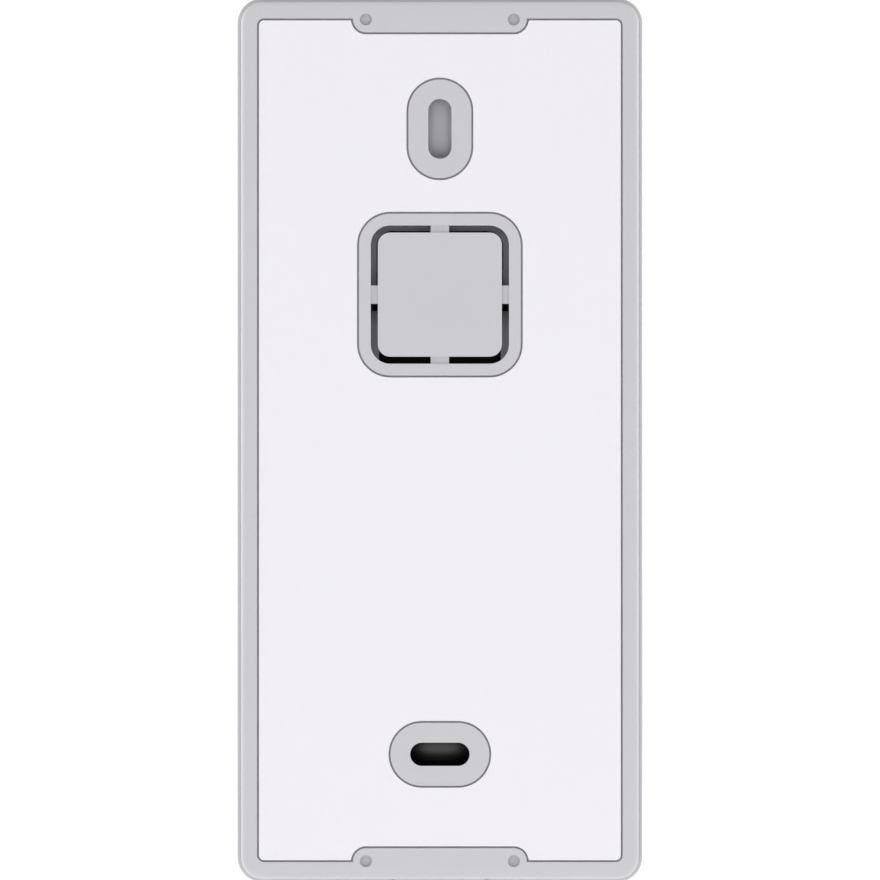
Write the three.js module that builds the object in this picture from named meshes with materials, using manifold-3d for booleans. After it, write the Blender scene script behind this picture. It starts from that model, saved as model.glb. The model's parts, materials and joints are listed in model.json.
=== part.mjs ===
// A battery video doorbell hanging on its wall bracket, in millimetres.
// +Z is up, the wall face of the bracket lies in the plane y = 0 and the doorbell's front faces -Y.
// The origin is the middle of the wall face. A depth is the distance from the wall, so y = -depth.

import * as THREE from 'three';
import { mergeVertices } from 'three/addons/utils/BufferGeometryUtils.js';
import Module from 'manifold-3d';

const wasm = await Module();
wasm.setup();

// ---------------------------------------------------------------- driving dimensions

const GAP = 0.3; // between neighbouring pieces
const FIT = 0.15; // round a screw or a guided pin
const SEAT = 0.1; // at a seat or a clamped face
const PAST = 1; // how far a cutting tool runs past the face that it opens

const UNIT = {
  width: 62.8, height: 137, corner: 3.9, back: 2.7, split: 11, front: 24.6,
  wall: 2.2, rearWall: 2.7, frontWall: 2.6, backEdge: 0.3, frontEdge: 1.8,
};
const PLATE = { width: 61.5, height: 135.8, corner: 3.3, depth: 2.4, edge: 0.5 };
const PAD = { width: 56.3, height: 130.4, corner: 0.9, depth: 0.8 };
const LUG = { width: 27.2, height: 4.3, z: PAD.height / 2 };
const DOT = { x: 11.45, z: PAD.height / 2, radius: 0.93, depth: 0.75 };
const UPPER_BOSS = { width: 10.05, height: 15.6, z: 48.2 };
const UPPER_SLOT = { width: 3.6, height: 9.25 };
const LOWER_BOSS = { width: 15.6, height: 10.05, z: -48.6 };
const LOWER_SLOT = { width: 9.2, height: 3.6 };
const SLOT_FLARE = 0.6; // depth where both slots begin to flare for a countersunk head
const SQUARE_BOSS = { size: 25.35, corner: 5, z: 22.55 };
const KNOCKOUT = { outer: 21.4, outerCorner: 3, inner: 19.2, innerCorner: 1.9, bridge: 2.85, sink: 0.4 };

const LIFT = 4; // travel that takes the doorbell off its hooks
const HOOK = { x: 25.4, upperZ: 46, lowerZ: -40, width: 5.6, stem: 2.4, lip: 2.4, thick: 1.4 };
const HOOK_POCKET = { wall: 1, floor: 1.2 };
const TONGUE = { width: 14, thick: 2.3, from: 1, to: 8.4 };
const LOCK = { depth: 5.6, head: 2, headHeight: 1.3, shank: 1.2, length: 6.3 };
const INSERT = { outer: 1.9, bore: 1.35, length: 5 };
const LOCK_BLOCK = { width: 22.8, front: 9.5 };

const SCREW_POCKET = { width: 10.4, bottom: 37.6, top: 56, corner: 2, depth: 3.7 };
const CROWN = { radius: 5, crest: 2.75, bottom: 43, top: 54.6 };
const COVER = { width: 41, top: 9.3, bottom: -60, corner: 3, back: 2.9, thick: 1, sink: 1.8 };
const COVER_SEAL = { inset: 0.4, width: 0.8 };
const WIRE_BAY = { width: 19.9, top: 32.6, bottom: 11.2, floor: 9.4 };
const WIRE_RELIEF = { width: 24.4, top: 35, bottom: 10.4, depth: 4.1 };
const TIE_NOTCH = { from: 9.45, to: 12.05, top: 21.3, height: 2.6, depth: 1.2 };
const HEAD_BAY = { width: 13.6, top: -44.6, bottom: -56.6, floor: 7 };
const HEAD_RIB = { width: 12.4, radius: 3.4, crest: 4.2, z: -47.9 };
const BAY_WALL = 0.9;
const BATTERY = { width: 34, height: 48, depth: 9, from: 4.6, z: -18, corner: 4, edge: 1 };

const CORNER_POST = { x: 25.4, z: 62.4, radius: 3, pilot: 1.15, pilotLength: 6 };
const CASE_SCREW = { head: 2, headHeight: 1.3, shank: 1, length: 9.5, sunk: 0.4 };
const COVER_POST = { x: 17.3, upperZ: 6.8, lowerZ: -54, radius: 2.2, length: 3.6, floor: 0.5 };
const COVER_SCREW = { head: 1.7, headHeight: 0.7, shank: 0.8, length: 4.4, sunk: 0.6 };
const SEAL = { inset: 0.7, width: 0.8, groove: 0.9 };
const TERMINAL = {
  width: 18, height: 8, depth: 3, x: 5, well: 1.3, wellDepth: 2.4,
  mouthWidth: 2.6, mouthHeight: 3, mouthFrom: 0.9, mouthTo: 2.3, mouthZ: -3.4,
};
const CLAMP_SCREW = { head: 2.3, headHeight: 1.2, shank: 1.1, length: 3.4 };
const SCREW_SHARE = { brim: 0.4, driveWidth: 0.3, driveDepth: 0.6, driveLength: 1.3 }; // of the head

const PANEL = { width: 53, height: 58, corner: 7, z: 33, from: 23.2, front: 25, edge: 0.4, ledge: 2.2 };
const CAMERA = { z: 44, barrel: 6.5, thread: 5.7 };
const SENSOR_BOARD = { size: 18, corner: 1, thick: 0.8 };
const LENS_HOLDER = { size: 16, corner: 2, depth: 2.1, edge: 0.3 };
const WINDOW = { radius: 9.5, thick: 1, ledge: 1.4, edge: 0.25 };
const INFRARED = { x: 15.5, z: 10, radius: 1.9 };
const INFRARED_BOARD = { width: 38, height: 26, corner: 3, thick: 0.8 };
const MOTION = { z: 14, width: 22, height: 9, corner: 2, flange: 1.5, flangeThick: 0.8, sunk: 0.2 };
const LIGHT_SENSOR = { z: 57.3, radius: 1.3 };

// how far the back of each piece stands in front of the main board
const STACK = {
  holder: 1, barrel: 1.2, rearLens: 2.3, infraredBoard: 3.4, infraredLed: 4.3, frontLens: 5.05,
};

const BOARD = { thick: 1.2, width: 44, height: 75, corner: 2, z: 27.5, from: 15.8 };
const STAKE = { x: 20, z: 34, post: 1.8, pin: 1, hole: 1.25, past: 0.6 };
const SHIELD = { size: 22, depth: 2, x: -6, z: 25, vent: 0.8, ventAt: 7, ventDepth: 1 };
const CONTACTS = {
  width: 12, height: 5, depth: 1.9, z: -3, pitch: 4, slotWidth: 1.2, slotHeight: 3, slotDepth: 0.8,
};
const ANTENNA = { width: 4, height: 30, thick: 0.8, x: -26.2, z: 30 };
const RIBBON = { width: 10, bottom: -17, top: -6.5, from: 15.2, to: 15.5 };
const BUTTON = {
  z: -30, cap: 13.2, bore: 13.5, bezel: 16, flange: 17.8, travel: 0.8, front: 24.9,
  edge: 0.6, skirt: 14.5, skirtThick: 0.8, skirtBack: 1.8, stub: 2, stubLength: 0.4,
};
const BUTTON_RING = { back: 0.7, proud: 0.1, edge: 0.3 };
const BUTTON_SEAL = { outer: 17.4, inner: 14.9 };
const BUTTON_BOARD = { size: 35.4, corner: 6, from: 16, thick: 1 };
const BUTTON_SWITCH = { size: 6.2, depth: 1.5, key: 1.6, keyLength: 0.3 };
const SPEAKER = { z: -57, radius: 8.6, front: 21, gasket: 0.6, gasketWidth: 1 };
const SPEAKER_MESH = { width: 18.6, height: 9.6, corner: 1, thick: 0.25 };
const GRILLE = { slots: 7, pitch: 2.6, width: 1.2, height: 8 };
const MICROPHONE = {
  z: -6, hole: 0.6, boot: 3, bootBore: 0.7, width: 3.8, height: 3, thick: 1, port: 0.4, portDepth: 0.3,
};
const TAMPER = {
  x: 14, z: 48, pin: 1, flange: 1.9, flangeThick: 0.8, nose: 0.6, noseLength: 0.4, end: 8.5, travel: 1.2,
};
const TAMPER_SWITCH = { size: 6, key: 1.2, keyLength: 0.8 };

const WIDE_ROUND = 36; // sides of the push button
const ROUND = 24; // sides of a round piece
const SMALL_ROUND = 12; // sides of a screw or a pin
const PINHOLE = 8; // sides of a pinhole

// ---------------------------------------------------------------- profiles, as [radius, depth] pairs

const LENS_BARREL = [
  [2.2, 0], [5.7, 0], [5.7, 2.1], [6.5, 2.1], [6.5, 5.2], [5.1, 5.2],
  [5.1, 3.7], [4.2, 3.1], [3.4, 2.4], [3.4, 1], [2.2, 0.8], [2.2, 0],
];
const FRONT_LENS = [[0, 0.2], [2.6, 0], [4.9, 0], [4.9, 0.9], [4, 1.25], [2.2, 1.6], [0, 1.7]];
const REAR_LENS = [[0, 0], [2, 0], [3.2, 0.3], [3.2, 0.9], [1.8, 1.2], [0, 1.3]];
const LIGHT_LENS = [[0, 22.2], [2, 22.2], [2, 23], [1.3, 23], [1.3, 24.9], [0, 24.9]];
const INFRARED_LED = [[0, 0], [1.9, 0], [1.9, 2.4], [1.65, 2.9], [0.95, 3.25], [0, 3.4]];
const MOTION_SENSOR = [[0, 0], [4.6, 0], [4.6, 0.5], [4.1, 0.5], [4.1, 3.9], [3.8, 4.2], [0, 4.2]];
const CAP_DISH = [[10.7, 24.75], [6.6, 24.3], [0, 24.15]];
const SPEAKER_CONE = [
  [0, 15.5], [5, 15.5], [5, 18.1], [7.6, 19.3], [8.6, 19.3], [8.6, 20.9],
  [7.6, 20.9], [7, 20.4], [3.4, 19.7], [2.6, 20.3], [0, 20.6],
];

// ---------------------------------------------------------------- finishes

const FINISH = {
  greyPlastic: { color: 0xcbcacf, roughness: 0.5, metalness: 0 },
  whitePad: { color: 0xf1eff4, roughness: 0.85, metalness: 0 },
  blackPlastic: { color: 0x1a1a1c, roughness: 0.55, metalness: 0 },
  glossBlack: { color: 0x060608, roughness: 0.12, metalness: 0 },
  rubber: { color: 0x2b2b2d, roughness: 0.9, metalness: 0 },
  steel: { color: 0xb9babd, roughness: 0.3, metalness: 1 },
  brass: { color: 0xc8a04c, roughness: 0.3, metalness: 1 },
  board: { color: 0x14502f, roughness: 0.45, metalness: 0 },
  glass: { color: 0x20242c, roughness: 0.03, metalness: 0, transparent: true, opacity: 0.4 },
  smokedLens: { color: 0x15151a, roughness: 0.25, metalness: 0 },
  clearLed: { color: 0xd8dce4, roughness: 0.1, metalness: 0 },
  buttonCap: { color: 0xe4e3e7, roughness: 0.4, metalness: 0 },
  lightGuide: { color: 0xf4f6fa, roughness: 0.3, metalness: 0 },
  batteryWrap: { color: 0x3a4a66, roughness: 0.5, metalness: 0 },
};

// ---------------------------------------------------------------- outlines in the X-Z plane

function roundedRect(width, height, radius) {
  const x = width / 2 - radius;
  const z = height / 2 - radius;
  const quarter = Math.PI / 2;
  const outline = new THREE.Shape();
  outline.absarc(x, -z, radius, -quarter, 0);
  outline.absarc(x, z, radius, 0, quarter);
  outline.absarc(-x, z, radius, quarter, 2 * quarter);
  outline.absarc(-x, -z, radius, 2 * quarter, 3 * quarter);
  return outline;
}

function stadium(width, height) {
  const radius = Math.min(width, height) / 2;
  const reach = Math.abs(width - height) / 2;
  const tall = height > width;
  const start = tall ? 0 : -Math.PI / 2;
  const outline = new THREE.Shape();
  outline.absarc(tall ? 0 : reach, tall ? reach : 0, radius, start, start + Math.PI);
  outline.absarc(tall ? 0 : -reach, tall ? -reach : 0, radius, start + Math.PI, start + 2 * Math.PI);
  return outline;
}

// ---------------------------------------------------------------- solids

function solid(geometry) {
  const bare = geometry.clone();
  bare.deleteAttribute('normal');
  bare.deleteAttribute('uv');
  const merged = mergeVertices(bare);
  return new wasm.Manifold(new wasm.Mesh({
    numProp: 3,
    vertProperties: new Float32Array(merged.attributes.position.array),
    triVerts: new Uint32Array(merged.index.array),
  }));
}

function geometryOf(body) {
  const mesh = body.getMesh();
  const geometry = new THREE.BufferGeometry();
  geometry.setAttribute('position', new THREE.BufferAttribute(mesh.vertProperties, 3));
  geometry.setIndex(new THREE.BufferAttribute(mesh.triVerts, 1));
  const faceted = geometry.toNonIndexed();
  faceted.computeVertexNormals();
  return faceted;
}

function join(first, ...others) {
  return others.reduce((body, other) => body.add(other), first);
}

function cut(body, ...tools) {
  return tools.reduce((rest, tool) => rest.subtract(tool), body);
}

function mirrored(make, ...signs) {
  return signs.map(([sx, sz]) => make(sx, sz));
}

const FOUR_CORNERS = [[-1, 1], [1, 1], [-1, -1], [1, -1]];

/** A prism of an X-Z outline, from one depth to another, with both rims broken by edge. */
function prism(outline, from, to, { x = 0, z = 0, edge = 0, curveSegments = 2 } = {}) {
  const geometry = new THREE.ExtrudeGeometry(outline, {
    depth: to - from - 2 * edge,
    curveSegments,
    bevelEnabled: edge > 0,
    bevelThickness: edge,
    bevelSize: edge,
    bevelOffset: -edge,
    bevelSegments: 2,
  });
  geometry.rotateX(Math.PI / 2);
  geometry.translate(x, -from - edge, z);
  return solid(geometry);
}

/** A box from one depth to another, by its middle in X and Z. */
function box(width, height, from, to, x = 0, z = 0) {
  const geometry = new THREE.BoxGeometry(width, to - from, height);
  geometry.translate(x, -(from + to) / 2, z);
  return solid(geometry);
}

/** A box given by its lowest and highest z. */
function boxBetween(width, bottom, top, from, to, x = 0) {
  return box(width, top - bottom, from, to, x, (bottom + top) / 2);
}

/** A turned piece about a Y axis. The profile lists [radius, depth] from the wall side to the front. */
function turned(profile, { x = 0, z = 0, sides = ROUND } = {}) {
  const points = profile.map(([radius, depth]) => new THREE.Vector2(radius, -depth)).reverse();
  const geometry = new THREE.LatheGeometry(points, sides);
  geometry.translate(x, 0, z);
  return solid(geometry);
}

function disc(radius, from, to, options) {
  return turned([[0, from], [radius, from], [radius, to], [0, to]], options);
}

function ring(outer, inner, from, to, options) {
  return turned([[inner, from], [outer, from], [outer, to], [inner, to], [inner, from]], options);
}

/** A cylinder along Z, by its lowest and highest z. */
function rodAlongZ(radius, depth, bottom, top, sides = SMALL_ROUND) {
  const geometry = new THREE.CylinderGeometry(radius, radius, top - bottom, sides);
  geometry.rotateX(-Math.PI / 2);
  geometry.translate(0, -depth, (bottom + top) / 2);
  return solid(geometry);
}

/** A cylinder along X, by its middle. */
function rodAlongX(radius, depth, z, length) {
  const geometry = new THREE.CylinderGeometry(radius, radius, length, ROUND);
  geometry.rotateZ(Math.PI / 2);
  geometry.translate(0, -depth, z);
  return solid(geometry);
}

/** A screw with its head's top at depth 0 and its shank towards the front, with a cross or slot drive. */
function screw({ head, headHeight, shank, length }, crossed) {
  const brim = headHeight * SCREW_SHARE.brim;
  const body = turned([
    [0, 0], [head - brim, 0], [head, brim], [head, headHeight], [shank, headHeight],
    [shank, length - shank / 2], [shank / 2, length], [0, length],
  ], { sides: SMALL_ROUND });
  const driveWidth = head * SCREW_SHARE.driveWidth;
  const driveLength = head * SCREW_SHARE.driveLength;
  const driveDepth = headHeight * SCREW_SHARE.driveDepth;
  const across = box(driveWidth, driveLength, -PAST, driveDepth);
  const along = box(driveLength, driveWidth, -PAST, driveDepth);
  return crossed ? cut(body, across, along) : cut(body, along);
}

// ---------------------------------------------------------------- scene graph

function piece(parent, name, body, finish, [x, depth, z] = [0, 0, 0]) {
  const mesh = new THREE.Mesh(geometryOf(body), new THREE.MeshStandardMaterial(finish));
  mesh.name = name;
  mesh.position.set(x, -depth, z);
  parent.add(mesh);
  return mesh;
}

function group(parent, x = 0, depth = 0, z = 0) {
  const child = new THREE.Group();
  child.position.set(x, -depth, z);
  parent.add(child);
  return child;
}

// ---------------------------------------------------------------- wall bracket

/** The pad's plan, with a notch or hole round every lug and boss, grown or shrunk by spread. */
function padPlan(spread, from, to) {
  const grow = 2 * spread;
  const sheet = prism(
    roundedRect(PAD.width + grow, PAD.height + grow, PAD.corner + spread), from, to, { curveSegments: 1 },
  );
  const tools = { from: from - PAST, to: to + PAST };
  const island = (outline, z, curveSegments) => prism(outline, tools.from, tools.to, { z, curveSegments });
  return cut(
    sheet,
    island(stadium(LUG.width - grow, LUG.height - grow), LUG.z, 3),
    island(stadium(LUG.width - grow, LUG.height - grow), -LUG.z, 3),
    island(stadium(UPPER_BOSS.width - grow, UPPER_BOSS.height - grow), UPPER_BOSS.z, 5),
    island(stadium(LOWER_BOSS.width - grow, LOWER_BOSS.height - grow), LOWER_BOSS.z, 5),
    island(
      roundedRect(SQUARE_BOSS.size - grow, SQUARE_BOSS.size - grow, SQUARE_BOSS.corner - spread),
      SQUARE_BOSS.z, 3,
    ),
  );
}

/** The slot round the knock-out, cut into four angles by the bridges that hold it. */
function knockoutSlots() {
  const place = { z: SQUARE_BOSS.z };
  const { outer, outerCorner, inner, innerCorner, bridge, sink } = KNOCKOUT;
  const front = PLATE.depth + 2 * PAST;
  const slot = cut(
    prism(roundedRect(outer, outer, outerCorner), -PAST, PLATE.depth + PAST, place),
    prism(roundedRect(inner, inner, innerCorner), -2 * PAST, front, place),
  );
  const span = outer + PAST;
  const upright = box(bridge, span, sink, front, 0, SQUARE_BOSS.z);
  const level = box(span, bridge, sink, front, 0, SQUARE_BOSS.z);
  return cut(slot, upright, level);
}

/** A screw slot, straight at the wall and flared by 45 degrees towards the front. */
function screwSlot({ width, height }, z) {
  const options = { z, curveSegments: 4 };
  const front = PLATE.depth + PAST;
  const spread = 2 * (front - SLOT_FLARE);
  const throat = prism(stadium(width, height), -PAST, SLOT_FLARE, options);
  const mouth = prism(stadium(width + spread, height + spread), front, front + SEAT, options);
  const neck = prism(stadium(width, height), SLOT_FLARE - SEAT, SLOT_FLARE, options);
  return join(throat, wasm.Manifold.hull([neck, mouth]));
}

function hook(x, z) {
  const reach = UNIT.back + UNIT.rearWall + GAP;
  const bottom = z - HOOK.stem / 2;
  const top = z + HOOK.stem / 2;
  const stem = boxBetween(HOOK.width, bottom, top, PLATE.depth - GAP, reach + HOOK.thick, x);
  const lip = boxBetween(HOOK.width, bottom, top + HOOK.lip, reach, reach + HOOK.thick, x);
  return join(stem, lip);
}

function eachHook(make) {
  return mirrored((sx, sz) => make(sx * HOOK.x, sz > 0 ? HOOK.upperZ : HOOK.lowerZ), ...FOUR_CORNERS);
}

function tongue() {
  const bottom = -UNIT.height / 2;
  return boxBetween(TONGUE.width, bottom, bottom + TONGUE.thick, TONGUE.from, TONGUE.to);
}

function bracketPlate() {
  const plate = prism(
    roundedRect(PLATE.width, PLATE.height, PLATE.corner), 0, PLATE.depth, { edge: PLATE.edge },
  );
  const body = join(plate, tongue(), ...eachHook(hook));
  const bottom = -UNIT.height / 2;
  const dots = mirrored(
    (sx, sz) => disc(DOT.radius, -PAST, DOT.depth, { x: sx * DOT.x, z: sz * DOT.z, sides: SMALL_ROUND }),
    ...FOUR_CORNERS,
  );
  return cut(
    body,
    padPlan(GAP / 2, -PAST, PAD.depth),
    screwSlot(UPPER_SLOT, UPPER_BOSS.z),
    screwSlot(LOWER_SLOT, LOWER_BOSS.z),
    knockoutSlots(),
    ...dots,
    rodAlongZ(LOCK.shank + GAP, LOCK.depth, bottom - PAST, bottom + TONGUE.thick + PAST),
    rodAlongZ(LOCK.head + GAP / 2, LOCK.depth, bottom - PAST, bottom + LOCK.headHeight + GAP),
  );
}

function buildBracket(parent) {
  const bracket = group(parent);
  piece(bracket, 'bracket_plate', bracketPlate(), FINISH.greyPlastic);
  piece(bracket, 'backing_pad', padPlan(-GAP / 2, 0, PAD.depth), FINISH.whitePad);
  const lock = piece(bracket, 'security_screw', screw(LOCK, false), FINISH.steel, [
    0, LOCK.depth, GAP / 2 - UNIT.height / 2,
  ]);
  lock.rotation.x = -Math.PI / 2;
}

// ---------------------------------------------------------------- rear housing and what it holds

const INSIDE = UNIT.back + UNIT.rearWall; // depth of the rear wall's inner face
const SPLIT_FRONT = UNIT.split + GAP; // depth where the front housing begins
const FRONT_INSIDE = UNIT.front - UNIT.frontWall; // depth of the front wall's inner face

function caseOutline(inset) {
  return roundedRect(UNIT.width - 2 * inset, UNIT.height - 2 * inset, UNIT.corner - inset);
}

/** Hook opening in the rear wall, and the undercut behind it that the lip moves in. */
function hookOpening(x, z) {
  const bottom = z - HOOK.stem / 2 - LIFT - GAP;
  const top = z + HOOK.stem / 2 + GAP;
  const width = HOOK.width + 2 * GAP;
  const mouth = boxBetween(width, bottom, top, UNIT.back - PAST, INSIDE + PAST, x);
  const undercut = boxBetween(width, bottom, top + HOOK.lip, INSIDE, INSIDE + 2 * GAP + HOOK.thick, x);
  return join(mouth, undercut);
}

function hookBlock(x, z) {
  const bottom = z - HOOK.stem / 2 - LIFT - GAP - HOOK_POCKET.wall;
  const top = z + HOOK.stem / 2 + GAP + HOOK.lip + HOOK_POCKET.wall;
  const floor = INSIDE + 2 * GAP + HOOK.thick + HOOK_POCKET.floor;
  const width = HOOK.width + 2 * (GAP + HOOK_POCKET.wall);
  return boxBetween(width, bottom, top, INSIDE - GAP, floor, x);
}

function coverOutline(inset) {
  return roundedRect(COVER.width - 2 * inset, COVER.top - COVER.bottom - 2 * inset, COVER.corner);
}

const COVER_Z = (COVER.top + COVER.bottom) / 2;

/** A notch for a cable tie in the ledge beside the wiring bay, deepest at its top. */
function tieNotch(side) {
  const { from, to, top, height, depth } = TIE_NOTCH;
  const start = WIRE_RELIEF.depth - PAST;
  const x = side * (from + to) / 2;
  const floor = WIRE_RELIEF.depth + depth;
  const upper = boxBetween(to - from, top - SEAT, top, start, floor, x);
  const lower = boxBetween(to - from, top - height, top - height + SEAT, start, WIRE_RELIEF.depth, x);
  return wasm.Manifold.hull([upper, lower]);
}

/** The rounded crown on the floor of the upper screw's pocket. */
function pocketCrown() {
  const { radius, crest, bottom, top } = CROWN;
  const round = rodAlongZ(radius, crest + radius, bottom, top, ROUND);
  return round.intersect(boxBetween(2 * radius, bottom, top, crest, SCREW_POCKET.depth + GAP));
}

/** The rear wall's openings: battery bay and lower screw head's bay behind the cover, and the wiring bay. */
function rearOpenings() {
  const from = UNIT.back - PAST;
  const to = INSIDE + PAST;
  const room = 2 * (BAY_WALL + GAP);
  const bayBottom = HEAD_BAY.top + BAY_WALL;
  const batteryTop = BATTERY.z + BATTERY.height / 2 + 2 * GAP;
  return join(
    boxBetween(BATTERY.width + 2 * GAP, bayBottom, batteryTop, from, to),
    boxBetween(HEAD_BAY.width + room, HEAD_BAY.bottom - room / 2, bayBottom + PAST, from, to),
    boxBetween(WIRE_BAY.width, WIRE_BAY.bottom, WIRE_BAY.top, from, to),
    boxBetween(WIRE_RELIEF.width, WIRE_RELIEF.bottom, WIRE_RELIEF.top, from, WIRE_RELIEF.depth),
    tieNotch(-1),
    tieNotch(1),
  );
}

function eachCornerPost(make) {
  return mirrored((sx, sz) => make({
    x: sx * CORNER_POST.x, z: sz * CORNER_POST.z, sides: SMALL_ROUND,
  }), ...FOUR_CORNERS);
}

function eachCoverPost(make) {
  return mirrored((sx, sz) => make({
    x: sx * COVER_POST.x, z: sz > 0 ? COVER_POST.upperZ : COVER_POST.lowerZ, sides: SMALL_ROUND,
  }), ...FOUR_CORNERS);
}

function sealLoop(inset, width, from, to) {
  return cut(
    prism(caseOutline(inset), from, to),
    prism(caseOutline(inset + width), from - PAST, to + PAST),
  );
}

function rearHousing() {
  const bottom = -UNIT.height / 2;
  const tongueRoof = bottom + TONGUE.thick + GAP;
  const insertTop = tongueRoof + GAP + INSERT.length + GAP;
  const tray = cut(
    prism(caseOutline(0), UNIT.back, UNIT.split + UNIT.wall, { edge: UNIT.backEdge }),
    prism(caseOutline(-PAST), UNIT.split, UNIT.split + 2 * UNIT.wall),
    prism(caseOutline(UNIT.wall), INSIDE, UNIT.split + 2 * UNIT.wall),
  );
  const pocket = SCREW_POCKET;
  const pocketOutline = roundedRect(pocket.width, pocket.top - pocket.bottom, pocket.corner);
  const blockBottom = bottom + UNIT.wall / 2;
  const filled = join(
    tray,
    ...eachHook(hookBlock),
    boxBetween(LOCK_BLOCK.width, blockBottom, insertTop + UNIT.wall, INSIDE - GAP, LOCK_BLOCK.front),
    ...eachCornerPost((place) => disc(CORNER_POST.radius, INSIDE - GAP, UNIT.split, place)),
    ...eachCoverPost((place) => disc(COVER_POST.radius, INSIDE - GAP, INSIDE + COVER_POST.length, place)),
  );
  const from = UNIT.back - PAST;
  const sunkHead = UNIT.back + CASE_SCREW.sunk + CASE_SCREW.headHeight;
  const coverFloor = UNIT.back + COVER.sink;
  const coverBoreEnd = INSIDE + COVER_POST.length - COVER_POST.floor;
  const body = cut(
    filled,
    ...eachHook(hookOpening),
    prism(pocketOutline, from, pocket.depth, { z: (pocket.top + pocket.bottom) / 2, curveSegments: 1 }),
    ...eachCornerPost((place) => disc(CASE_SCREW.shank + GAP, from, UNIT.split + PAST, place)),
    ...eachCornerPost((place) => disc(CASE_SCREW.head + GAP, from, sunkHead, place)),
    prism(coverOutline(-GAP), from, coverFloor, { z: COVER_Z }),
    rearOpenings(),
    ...eachCoverPost((place) => disc(COVER_SCREW.shank + FIT, UNIT.back, coverBoreEnd, place)),
    disc(TAMPER.pin + FIT, from, INSIDE + PAST, { x: TAMPER.x, z: TAMPER.z, sides: SMALL_ROUND }),
    boxBetween(TONGUE.width + 2 * GAP, bottom - PAST, tongueRoof, from, TONGUE.to + GAP),
    rodAlongZ(INSERT.outer + FIT, LOCK.depth, tongueRoof - PAST, insertTop),
    sealLoop(SEAL.inset - SEAT, SEAL.width + 2 * SEAT, UNIT.split - SEAL.groove, UNIT.split + PAST),
  );
  return join(body, pocketCrown());
}

function screwInsert() {
  return ring(INSERT.outer, INSERT.bore, 0, INSERT.length, { sides: SMALL_ROUND });
}

/** A bay's box, from one depth to its floor, grown all round and below by wall. */
function bayBox({ width, top, bottom, floor }, wall, from) {
  return boxBetween(width + 2 * wall, bottom - wall, top + wall, from, floor + wall);
}

/** The round rib that stiffens the floor of the lower screw head's bay. */
function headRib() {
  const { width, radius, crest, z } = HEAD_RIB;
  return rodAlongX(radius, crest + radius, z, width).intersect(bayBox(HEAD_BAY, SEAT, crest - PAST));
}

/** The cover's plate with the bay for the lower screw head, open towards the wall. */
function serviceCover() {
  const top = COVER.back + COVER.thick;
  const from = COVER.back - PAST;
  const shell = join(
    prism(coverOutline(0), COVER.back, top, { z: COVER_Z }),
    bayBox(HEAD_BAY, BAY_WALL, COVER.back + GAP),
  );
  const body = cut(
    shell,
    bayBox(HEAD_BAY, 0, from),
    ...eachCoverPost((place) => disc(COVER_SCREW.shank + FIT, from, top + PAST, place)),
    ...eachCoverPost((place) => disc(COVER_SCREW.head + FIT, from, COVER.back + COVER_SCREW.sunk, place)),
  );
  return join(body, headRib());
}

function serviceCoverGasket() {
  const from = COVER.back + COVER.thick + SEAT;
  const to = UNIT.back + COVER.sink - SEAT;
  return cut(
    prism(coverOutline(COVER_SEAL.inset), from, to, { z: COVER_Z }),
    prism(coverOutline(COVER_SEAL.inset + COVER_SEAL.width), from - PAST, to + PAST, { z: COVER_Z }),
  );
}

/** The tray behind the wiring opening, open towards the wall. */
function wiringTray() {
  return cut(
    bayBox(WIRE_BAY, BAY_WALL + GAP, INSIDE + SEAT),
    bayBox(WIRE_BAY, GAP, INSIDE - PAST),
  );
}

function terminalBlock() {
  const { width, height, depth, x, well, wellDepth } = TERMINAL;
  const { mouthWidth, mouthHeight, mouthFrom, mouthTo, mouthZ } = TERMINAL;
  const wells = [-x, x].map((at) => disc(well, -PAST, wellDepth, { x: at, sides: SMALL_ROUND }));
  const mouths = [-x, x].map((at) => box(mouthWidth, mouthHeight, mouthFrom, mouthTo, at, mouthZ));
  return cut(box(width, height, 0, depth), ...wells, ...mouths);
}

function batteryPack() {
  const { width, height, corner, depth, edge } = BATTERY;
  return prism(roundedRect(width, height, corner), 0, depth, { edge });
}

function buildRear(unit) {
  piece(unit, 'rear_housing', rearHousing(), FINISH.greyPlastic);
  const sealFrom = UNIT.split - SEAL.groove + SEAT;
  const seal = sealLoop(SEAL.inset, SEAL.width, sealFrom, UNIT.split + 2 * SEAT);
  piece(unit, 'housing_gasket', seal, FINISH.rubber);
  FOUR_CORNERS.forEach(([sx, sz], index) => {
    piece(unit, `housing_screw_${index + 1}`, screw(CASE_SCREW, true), FINISH.steel, [
      sx * CORNER_POST.x, UNIT.back + CASE_SCREW.sunk - SEAT, sz * CORNER_POST.z,
    ]);
    const coverZ = sz > 0 ? COVER_POST.upperZ : COVER_POST.lowerZ;
    piece(unit, `cover_screw_${index + 1}`, screw(COVER_SCREW, true), FINISH.steel, [
      sx * COVER_POST.x, COVER.back - FIT, coverZ,
    ]);
  });
  const insert = piece(unit, 'screw_insert', screwInsert(), FINISH.brass, [
    0, LOCK.depth, TONGUE.thick + 2 * GAP - UNIT.height / 2,
  ]);
  insert.rotation.x = -Math.PI / 2;

  piece(unit, 'service_cover', serviceCover(), FINISH.blackPlastic);
  piece(unit, 'service_cover_gasket', serviceCoverGasket(), FINISH.rubber);
  piece(unit, 'wiring_tray', wiringTray(), FINISH.blackPlastic);
  const terminalDepth = WIRE_BAY.floor + GAP - TERMINAL.depth - SEAT;
  const terminals = group(unit, 0, terminalDepth, (WIRE_BAY.top + WIRE_BAY.bottom) / 2);
  piece(terminals, 'terminal_block', terminalBlock(), FINISH.blackPlastic);
  [-TERMINAL.x, TERMINAL.x].forEach((x, index) => {
    piece(terminals, `terminal_screw_${index + 1}`, screw(CLAMP_SCREW, false), FINISH.brass, [
      x, -CLAMP_SCREW.headHeight - SEAT, 0,
    ]);
  });
  piece(unit, 'battery_pack', batteryPack(), FINISH.batteryWrap, [0, BATTERY.from, BATTERY.z]);
}

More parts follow.
